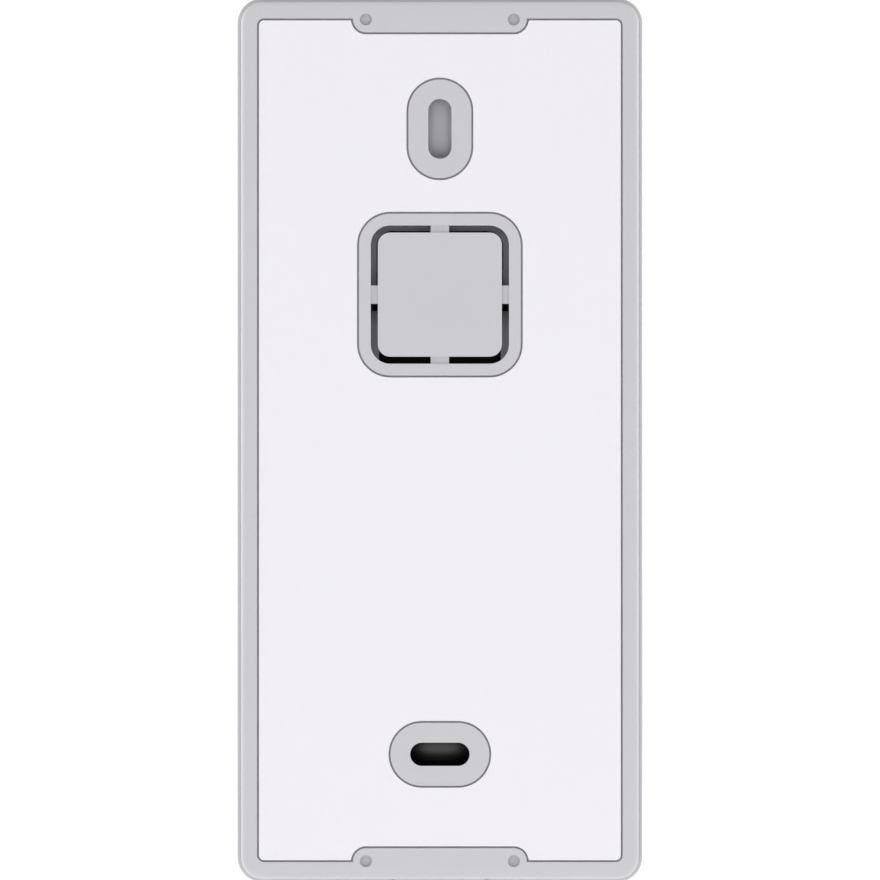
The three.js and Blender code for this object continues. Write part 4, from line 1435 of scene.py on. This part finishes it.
    def build_front(self) -> Piece:
        """Makes the front housing with its openings."""
        box = Extent.of("front_housing")
        split, front = box.high.y, box.low.y
        inside = front + self.front_wall
        shell, hollow = self.shell("front_shell", box, (split + PAST, inside))
        Bench.round_face(shell, self.front_edge, 8, front)
        Bench.round_face(shell, self.lip_edge, 2, split)
        Bench.use(shell, Joinery.CUT, hollow)
        posts = [
            Bench.disc("post", place, self.front_post, split - self.root, inside - self.root, 32)
            for place in corners(self.post_x, self.post_z)
        ]
        Bench.use(shell, Joinery.ADD, *posts)
        panel = Extent.of("camera_panel")
        bezel = Extent.of("button_light_ring")
        outward = front - PAST
        gap, ledge, through = self.panel_gap, self.panel_ledge, (inside + PAST, outward)
        pilot, pilot_depth = self.pilot
        tools = [
            Bench.slab(
                "panel_bed", grown(panel.plan, gap), self.panel_corner + gap,
                panel.high.y + self.panel_bed_floor, outward, panel.mid_line, 16,
            ),
            Bench.slab(
                "panel_opening", grown(panel.plan, -ledge), self.panel_corner - ledge, *through,
                panel.mid_line, 10,
            ),
            Bench.disc("button_opening", bezel.mid_line, self.button_opening, *through, 96),
            Bench.disc("microphone_hole", (0, self.microphone_z), self.microphone_hole, *through, 24),
        ]
        tools += [
            Bench.disc("pilot", place, pilot, split + PAST, split - pilot_depth, 24)
            for place in corners(self.post_x, self.post_z)
        ]
        slot = Bench.slab(
            "grille_slot", self.grille_slot, self.grille_slot[0] / 2, *through, (0, self.grille_z), 6
        )
        for index in range(self.grille_slots):
            shift = (index - (self.grille_slots - 1) / 2) * self.grille_pitch
            tools.append(Bench.copy(slot, "grille_slot", (shift, 0, 0)))
        bpy.data.objects.remove(slot, do_unlink=True)
        Bench.use(shell, Joinery.CUT, *tools)
        return Bench.soften(shell, self.soft_front)

    def build_cover(self) -> Piece:
        """Makes the service cover, whose screw-head bay has a bulged floor."""
        box = Extent.of("service_cover")
        back, front, wall, place = box.high.y, box.low.y, self.bay_wall, self.bay_place
        cover = Bench.slab(
            "cover_plate", box.plan, self.cover_corner, back, back - self.cover_thick, box.mid_line, 6
        )
        outer, inner = self.bay_corners
        shell = Bench.slab("bay_shell", grown(self.bay, wall), outer, back - self.root, front, place, 4)
        Bench.use(cover, Joinery.ADD, shell)
        Bench.use(cover, Joinery.CUT, Bench.slab("bay", self.bay, inner, back + PAST, front + wall, place, 4))
        rib = self.domed_rib(front + wall / 2, place[1] + (self.bay[1] + wall) / 2)
        Bench.use(cover, Joinery.ADD, rib)
        holes = [
            Bench.disc("hole", (side * self.cover_screw_x, level), radius, back + PAST, back - depth, 24)
            for level, side in product(self.cover_screw_z, (-1, 1))
            for radius, depth in (self.cover_hole, self.cover_countersink)
        ]
        Bench.use(cover, Joinery.CUT, *holes)
        return Bench.soften(cover, self.soft_edge)

    def domed_rib(self, floor: float, top: float) -> Piece:
        """Makes the domed rib on the floor of the lower screw head's bay.

        Args:
            floor: y of its front end, inside the bay's floor.
            top: z of its upper end, inside the bay's upper wall.

        Returns:
            The rib.
        """
        (width, height, depth), (crest, z) = self.rib, self.rib_place
        bpy.ops.object.select_all(action="DESELECT")
        bpy.ops.mesh.primitive_uv_sphere_add(
            segments=64, ring_count=40, radius=1, location=(0, crest - depth, z)
        )
        bpy.context.object.scale = (width / 2, depth, height / 2)
        rib = Bench.settle("rib")
        rest = Bench.block("rest", (-width, floor - 2 * depth, z - height), (width, floor, z + height))
        above = Bench.block("above", (-width, floor - 2 * depth, top), (width, crest + depth, z + height))
        return Bench.use(rib, Joinery.CUT, rest, above)

    def build_tray(self) -> Piece:
        """Makes the wiring tray."""
        box = Extent.of("wiring_tray")
        wall, place = self.tray_wall, (box.centre.x, box.centre.z)
        outer, inner = self.tray_corners
        tray = Bench.slab("wire_tray", box.plan, outer, box.high.y, box.low.y, place, 4)
        hollow = Bench.slab(
            "tray_hollow", grown(box.plan, -wall), inner, box.high.y + PAST, box.low.y + wall, place, 4
        )
        Bench.use(tray, Joinery.CUT, hollow)
        return Bench.soften(tray, self.soft_edge)

    def build(self) -> None:
        """Makes and hands over the four casing pieces."""
        grey, black = self.palette.grey, self.palette.black
        body = Body.DOORBELL
        self.hand_over(self.build_rear(), body, Slot.GREY_PLASTIC, grey, "rear_housing")
        self.hand_over(self.build_front(), body, Slot.GREY_PLASTIC, grey, "front_housing")
        self.hand_over(self.build_cover(), body, Slot.BLACK_PLASTIC, black, "service_cover")
        self.hand_over(self.build_tray(), body, Slot.BLACK_PLASTIC, self.palette.tray, "wiring_tray")


@dataclass
class CameraFace(SubAssembly):
    """The polished panel with the camera's window, the infrared diodes and the two sensor lenses."""

    corner: float = 7 * MM
    rim: float = 0.4 * MM
    rim_edge: float = 0.1 * MM
    window_ledge: float = 1.4 * MM
    window_gap: float = 0.15 * MM
    window_sink: float = 0.35 * MM
    window_round: Pair = (0.2 * MM, 0.3 * MM)
    chamfer: float = 0.5 * MM
    diode_gap: float = 0.3 * MM
    diode_neck: float = 0.86
    diode_rings: int = 10
    light_opening: float = 1.45 * MM
    light_lens: float = 1.3 * MM
    light_round: Pair = (0.2 * MM, 0.05 * MM)
    collar: float = 0.8 * MM
    flange: float = 1.5 * MM
    lens_gap: float = 0.3 * MM
    lens_corner: float = 2 * MM
    lens_edge: float = 0.05 * MM
    lens_rings: int = 14
    barrel_mouth: tuple[Pair, ...] = (
        (5.4 * MM, 0), (5.3 * MM, 0.4 * MM), (5.1 * MM, 0.4 * MM), (5.1 * MM, 1.5 * MM),
        (4.2 * MM, 2.1 * MM), (3.4 * MM, 2.8 * MM),
    )
    barrel_exit: tuple[Pair, ...] = ((3.4 * MM, 1 * MM), (2.2 * MM, 0.8 * MM), (2.2 * MM, 0))
    barrel_neck: float = 2.1 * MM
    barrel_chamfer: float = 0.25 * MM
    overlap: float = 0.1 * MM
    facet_rows: int = 4
    facet_columns: int = 9
    facet_groove: Pair = (0.16 * MM, 0.12 * MM)

    def build_panel(self) -> Piece:
        """Makes the panel and all its openings."""
        box = Extent.of("camera_panel")
        window = Extent.of("lens_window")
        motion = Extent.of("motion_lens")
        light = Extent.of("light_sensor_lens")
        inward, outward = box.high.y + PAST, box.low.y - PAST
        panel = Bench.slab("panel_shell", box.plan, self.corner, box.high.y, box.low.y, box.mid_line, 20)
        Bench.round_face(panel, self.rim, 4, box.low.y)
        radius = window.size.x / 2
        bed, sink = radius + self.window_gap, box.low.y + self.window_sink
        tools = [
            Bench.disc("sight", window.mid_line, radius - self.window_ledge, inward, outward, 96),
            Bench.turned("window_bed", window.mid_line, [
                (bed, window.high.y + self.overlap), (bed, sink),
                (bed + self.chamfer, sink - self.chamfer), (bed + self.chamfer, outward),
            ], 128),
            Bench.slab(
                "motion_opening", grown(motion.plan, self.lens_gap - self.flange),
                self.lens_corner + self.lens_gap, inward, outward, motion.mid_line, 8,
            ),
            Bench.disc("light_opening", light.mid_line, self.light_opening, inward, outward, 32),
        ]
        for index in range(1, 5):
            diode = Extent.of(f"infrared_led_{index}")
            place, reach = (diode.centre.x, diode.centre.z), diode.size.x / 2 + self.diode_gap
            tools.append(Bench.disc("diode_opening", place, reach, inward, outward, 40))
        Bench.use(panel, Joinery.CUT, *tools)
        return Bench.soften(panel, self.rim_edge)

    def build_window(self) -> Piece:
        """Makes the glass window with its chamfered rim."""
        box = Extent.of("lens_window")
        radius = box.size.x / 2
        back, front = self.window_round
        window = Bench.turned("window_glass", box.mid_line, [
            (radius - back, box.high.y), (radius, box.high.y - back), (radius, box.low.y + front),
            (radius - front, box.low.y), (0.3 * radius, box.low.y),
        ], 96)
        return Bench.soften(window, 0)

    @staticmethod
    def dome(radius: float, shoulder: float, crest: float, rings: int) -> list[Pair]:
        """Gives the profile of a dome, which ends just short of its middle.

        Args:
            radius: the dome's radius at its foot.
            shoulder: y of its foot.
            crest: y of its highest point.
            rings: how many rings it has.

        Returns:
            The radius and y of each ring.
        """
        return [(radius * across, shoulder - (shoulder - crest) * along) for across, along in arc(rings)[:-1]]

    def build_lens(self) -> Piece:
        """Makes the front lens as a dome of many rings."""
        box = Extent.of("front_lens")
        radius = box.size.x / 2
        shoulder = box.low.y + self.collar
        dome = self.dome(0.9 * radius, shoulder, box.low.y, self.lens_rings)
        lens = Bench.turned("lens_glass", box.mid_line, [
            (0.5 * radius, box.high.y), (radius, box.high.y), (radius, shoulder), *dome
        ], 72)
        return Bench.soften(lens, 0)

    def build_barrel(self) -> Piece:
        """Makes the lens barrel with stepped baffle rings inside its mouth."""
        box = Extent.of("lens_barrel")
        outer = box.size.x / 2
        front, back = box.low.y, box.high.y
        neck, chamfer = back - self.barrel_neck, self.barrel_chamfer
        *throat, aperture = ((radius, back - depth) for radius, depth in self.barrel_exit)
        profile = [
            aperture, (outer - self.collar, back), (outer - self.collar, neck), (outer, neck),
            (outer, front + chamfer), (outer - chamfer, front),
            *((radius, front + depth) for radius, depth in self.barrel_mouth), *throat,
        ]
        barrel = Bench.turned("lens_tube", box.mid_line, profile, 72, closed=True)
        return Bench.soften(barrel, 0)

    def build_motion_lens(self) -> Piece:
        """Makes the motion sensor's lens with a grid of shallow facets."""
        box = Extent.of("motion_lens")
        size = grown(box.plan, -self.flange)
        front = box.low.y
        step = box.high.y - self.collar
        lens = Bench.slab(
            "motion_window", size, self.lens_corner, step + self.overlap, front, box.mid_line, 8
        )
        rest = Bench.slab("motion_flange", box.plan, self.lens_corner, box.high.y, step, box.mid_line, 6)
        Bench.use(lens, Joinery.ADD, rest)
        width, height = size[0] / self.facet_columns, size[1] / self.facet_rows
        half, depth = self.facet_groove[0] / 2, self.facet_groove[1]
        grooves = []
        for column in range(1, self.facet_columns):
            x = -size[0] / 2 + column * width
            grooves.append(Bench.block(
                "groove", (x - half, front - PAST, box.low.z), (x + half, front + depth, box.high.z)
            ))
        for row in range(1, self.facet_rows):
            z = box.centre.z - size[1] / 2 + row * height
            grooves.append(Bench.block(
                "groove", (box.low.x, front - PAST, z - half), (box.high.x, front + depth, z + half)
            ))
        Bench.use(lens, Joinery.CUT, *grooves)
        return Bench.soften(lens, self.lens_edge)

    def build_diode(self, name: str) -> Piece:
        """Makes one infrared diode with a domed end and a collar.

        Args:
            name: the CAD node that the diode stands for.

        Returns:
            The diode.
        """
        box = Extent.of(name)
        radius = box.size.x / 2
        neck = self.diode_neck * radius
        dome = self.dome(neck, box.low.y + neck * 0.95, box.low.y, self.diode_rings)
        collar = box.high.y - self.collar
        diode = Bench.turned(name.replace("led", "diode"), (box.centre.x, box.centre.z), [
            (radius, box.high.y), (radius, collar), (neck, collar), *dome
        ], 40)
        return Bench.soften(diode, 0)

    def build_light_lens(self) -> Piece:
        """Makes the ambient light sensor's small lens."""
        box = Extent.of("light_sensor_lens")
        radius, flange, step = self.light_lens, box.size.x / 2, box.high.y - self.collar
        edge, crown = self.light_round
        lens = Bench.turned("light_window", box.mid_line, [
            (flange, box.high.y), (flange, step), (radius, step), (radius, box.low.y + edge),
            (radius - edge, box.low.y + crown), (0.4 * radius, box.low.y),
        ], 40)
        return Bench.soften(lens, 0)

    def build(self) -> None:
        """Makes and hands over the panel and everything that looks out of it."""
        body, palette = Body.DOORBELL, self.palette
        self.hand_over(self.build_panel(), body, Slot.GLOSS_BLACK, palette.gloss, "camera_panel")
        self.hand_over(self.build_window(), body, Slot.LENS_GLASS, palette.window, "lens_window")
        self.hand_over(self.build_lens(), body, Slot.LENS_GLASS, palette.optic, "front_lens")
        self.hand_over(self.build_barrel(), body, Slot.BLACK_PLASTIC, palette.black, "lens_barrel")
        self.hand_over(self.build_motion_lens(), body, Slot.SMOKED_LENS, palette.smoked, "motion_lens")
        self.hand_over(self.build_light_lens(), body, Slot.SMOKED_LENS, palette.smoked, "light_sensor_lens")
        for index in range(1, 5):
            name = f"infrared_led_{index}"
            self.hand_over(self.build_diode(name), body, Slot.CLEAR_LED, palette.led, name)


@dataclass
class PushButton(SubAssembly):
    """The push button's dished cap and the light ring round it."""

    cap: float = 13.2 * MM
    bore: float = 13.5 * MM
    bezel: float = 16 * MM
    stem: float = 2 * MM
    dish: float = 0.6 * MM
    dish_rings: int = 12
    round_over: float = 0.6 * MM
    round_steps: int = 6
    stem_length: float = 0.4 * MM
    flange: float = 0.8 * MM
    groove_inset: float = 3 * MM
    groove: tuple[Pair, ...] = (
        (0.45 * MM, 0.05 * MM), (0.3 * MM, 0.3 * MM), (0, 0.35 * MM), (-0.3 * MM, 0.3 * MM)
    )
    dish_gap: float = 0.5 * MM
    dish_start: float = 0.15 * MM
    ring_seat: float = -22.1 * MM
    ring_crown: float = 0.35 * MM
    ring_steps: int = 8

    def build_cap(self) -> Piece:
        """Makes the cap with a rounded rim, a fine ring groove and a dished middle."""
        box = Extent.of("button_cap")
        flange = box.size.x / 2
        front, stem_end = box.low.y, box.high.y
        flange_back = stem_end - self.stem_length
        flange_front = flange_back - self.flange
        rim = [
            (self.cap - self.round_over * (1 - across), front + self.round_over * (1 - along))
            for across, along in arc(self.round_steps)
        ]
        middle = self.cap - self.groove_inset
        groove = [(middle + reach, front + depth) for reach, depth in self.groove]
        shares = [1 - ring / self.dish_rings for ring in range(self.dish_rings)]
        bowl = [
            ((middle - self.dish_gap) * share, front + self.dish_start + self.dish * (1 - share**2))
            for share in shares
        ]
        cap = Bench.turned("button_dome", box.mid_line, [
            (self.stem, stem_end), (self.stem, flange_back), (flange, flange_back),
            (flange, flange_front), (self.cap, flange_front), *rim, *groove, *bowl,
        ], 128)
        return Bench.soften(cap, 0)

    def build_ring(self) -> Piece:
        """Makes the light ring with a softly crowned face."""
        box = Extent.of("button_light_ring")
        flange = box.size.x / 2
        wall_side, front = box.high.y, box.low.y
        middle, half = (self.bore + self.bezel) / 2, (self.bezel - self.bore) / 2
        crown = [
            (middle + half * across, front + self.ring_crown * (1 - along))
            for across, along in arc(self.ring_steps, 2)
        ]
        ring = Bench.turned("light_ring", box.mid_line, [
            (self.bore, wall_side), (flange, wall_side), (flange, self.ring_seat), (self.bezel, self.ring_seat),
            *crown,
        ], 128, closed=True)
        return Bench.soften(ring, 0)

    def build(self) -> None:
        """Makes and hands over the cap and the ring."""
        palette = self.palette
        self.hand_over(self.build_cap(), Body.BUTTON_CAP, Slot.BUTTON_WHITE, palette.button, "button_cap")
        self.hand_over(self.build_ring(), Body.DOORBELL, Slot.LIGHT_GUIDE, palette.guide, "button_light_ring")


@dataclass
class SecurityScrew(SubAssembly):
    """The machine screw that locks the doorbell to the bracket's tongue."""

    head: float = 2 * MM
    head_height: float = 1.3 * MM
    head_edges: Pair = (0.25 * MM, 0.1 * MM)
    neck: float = 0.12 * MM
    shank: float = 1.2 * MM
    recess: float = 1 * MM
    recess_depth: float = 0.8 * MM
    threads: int = 9
    thread_depth: float = 0.2 * MM
    crest: Triple = (0.35, 0.55, 0.95)
    edge: float = 0.05 * MM

    def build(self) -> None:
        """Makes the screw with a ridged shank and a six-sided recess, and hands it over."""
        box = Extent.of("security_screw")
        low, high = box.low.z, box.high.z
        pitch = (high - low - self.head_height) / self.threads
        chamfer, edge = self.head_edges
        profile = [
            (self.head - chamfer, 0), (self.head, chamfer), (self.head, self.head_height - edge),
            (self.head - edge, self.head_height), (self.shank - self.neck, self.head_height),
        ]
        for thread in range(self.threads):
            start = self.head_height + thread * pitch
            rise, fall, root = (start + share * pitch for share in self.crest)
            profile += [(self.shank, rise), (self.shank, fall), (self.shank - self.thread_depth, root)]
        screw = Bench.turned("lock_screw", (0, 0), [(radius, -y) for radius, y in profile], 40)
        key = Bench.disc("key", (0, 0), self.recess, PAST, -self.recess_depth, 6)
        Bench.use(screw, Joinery.CUT, key)
        Bench.pick(screw)
        screw.rotation_euler = (-math.pi / 2, 0, 0)
        screw.location = (0, box.centre.y, low)
        Bench.settle("lock_screw")
        Bench.soften(screw, self.edge)
        self.hand_over(screw, Body.SECURITY_SCREW, Slot.STEEL, self.palette.steel, "security_screw")


@dataclass
class Innards(SubAssembly):
    """The CAD nodes that keep their shape and get a finish."""

    def dress(self) -> None:
        """Gives each CAD node that still shows its finish."""
        palette = self.palette
        finishes = {
            "steel": palette.steel, "brass": palette.brass, "rubber": palette.rubber,
            "circuit_board": palette.board, "black_plastic": palette.black, "lens_glass": palette.optic,
            "light_guide": palette.guide, "battery_case": palette.sleeve,
        }
        slots = {entry["node"]: entry["material_slot"] for entry in frame["record"]["subparts"]}
        for name, node in frame["nodes"].items():
            if node.hide_render:
                continue
            finish = palette.mesh if name == "speaker_mesh" else finishes[slots[name]]
            node.data.materials.clear()
            node.data.materials.append(finish)
            log.info("%s keeps its shape, in %s", name, finish.name)


# ------------------------------------------------------------------------------------------------ studio


@dataclass(frozen=True)
class Softbox:
    """An area light that faces the doorbell."""

    name: str
    place: Triple
    size: Pair
    watts: float

    def hang(self) -> None:
        """Hangs the light."""
        data = bpy.data.lights.new(self.name, "AREA")
        data.shape = "RECTANGLE"
        data.size, data.size_y = self.size
        data.energy = self.watts
        lamp = bpy.data.objects.new(self.name, data)
        bpy.context.scene.collection.objects.link(lamp)
        lamp.location = self.place
        lamp.rotation_euler = (-Vector(self.place)).to_track_quat("-Z", "Y").to_euler()


@dataclass
class Studio:
    """A plain pale floor, even light with soft sides, and a long lens on the wall face."""

    field_height: float = 136.2 * MM
    lens: float = 600.0
    sensor: float = 36.0
    aim: Pair = (-0.02 * MM, 0.045 * MM)
    floor_reach: float = 6.0
    floor_drop: float = 12 * MM
    floor_glow: float = 0.42
    sky: float = 0.645
    backdrop: float = 1.1
    zenith_gain: float = 0.35
    room_loss: float = 0.7
    clip: Pair = (0.01, 50)
    softboxes: tuple[Softbox, ...] = (
        Softbox("left side light", (1.0, 0.05, 0.1), (0.4, 0.7), 4.2),
        Softbox("right side light", (-1.0, 0.05, 0.1), (0.4, 0.7), 3.0),
        Softbox("left room light", (-0.8, -0.9, 0.35), (0.5, 0.8), 4.8),
        Softbox("right room light", (0.9, -0.8, 0.25), (0.4, 0.8), 2.8),
    )

    def floor(self) -> None:
        """Lays the floor under the doorbell, clear of the withdrawn screw."""
        bpy.ops.object.select_all(action="DESELECT")
        level = CAD_BOX[0].z - self.floor_drop
        bpy.ops.mesh.primitive_plane_add(size=2 * self.floor_reach, location=(0, 0, level))
        plane = Bench.settle("floor")
        graph = Finish("pale floor")
        graph.set(
            base_color=graph.blend(graph.noise(0.4, 2), (0.93, 0.93, 0.93), (0.95, 0.95, 0.95)),
            roughness=0.9,
            specular_ior_level=0.1,
            emission_color=WHITE,
            emission_strength=self.floor_glow,
        )
        plane.data.materials.append(graph.material)

    def world(self) -> None:
        """Surrounds the doorbell with white light, dimmer on its front's side, before a white backdrop."""
        world = bpy.data.worlds.new("studio")
        world.use_nodes = True
        bpy.context.scene.world = world
        graph = Graph(world.node_tree, "Generated")
        overhead = abs(graph.axis("Z")) * self.zenith_gain + 1
        room = 1 - graph.axis("Y").step(0.1, -0.9) * self.room_loss
        light = graph.node("ShaderNodeBackground", None, {
            "Color": WHITE, "Strength": overhead * room * self.sky,
        })
        backdrop = graph.node("ShaderNodeBackground", None, {"Color": WHITE, "Strength": self.backdrop})
        seen = graph.node("ShaderNodeLightPath", output="Is Camera Ray")
        mixed = graph.node("ShaderNodeMixShader", None, {0: seen, 1: light, 2: backdrop})
        end = graph.tree.nodes.new("ShaderNodeOutputWorld")
        graph.plug(end.inputs["Surface"], mixed)

    def camera(self) -> None:
        """Points the camera straight at the wall face."""
        data = bpy.data.cameras.new("camera")
        data.lens = self.lens
        data.sensor_width = self.sensor
        data.clip_start, data.clip_end = self.clip
        camera = bpy.data.objects.new("camera", data)
        bpy.context.scene.collection.objects.link(camera)
        x, z = self.aim
        camera.location = (x, self.field_height * self.lens / self.sensor, z)
        camera.rotation_euler = (math.pi / 2, 0, math.pi)
        bpy.context.scene.camera = camera

    def build(self) -> None:
        """Sets up the whole studio."""
        bpy.context.scene.view_settings.view_transform = "Standard"
        self.camera()
        self.floor()
        self.world()
        for softbox in self.softboxes:
            softbox.hang()


def main() -> None:
    """Builds the studio and every part of the doorbell in order."""
    logging.basicConfig(level=logging.INFO, format="%(name)s: %(message)s")
    Studio().build()
    palette = Palette()
    WallBracket(palette).build()
    Casing(palette).build()
    CameraFace(palette).build()
    PushButton(palette).build()
    SecurityScrew(palette).build()
    Innards(palette).dress()


if __name__ == "__main__":
    main()
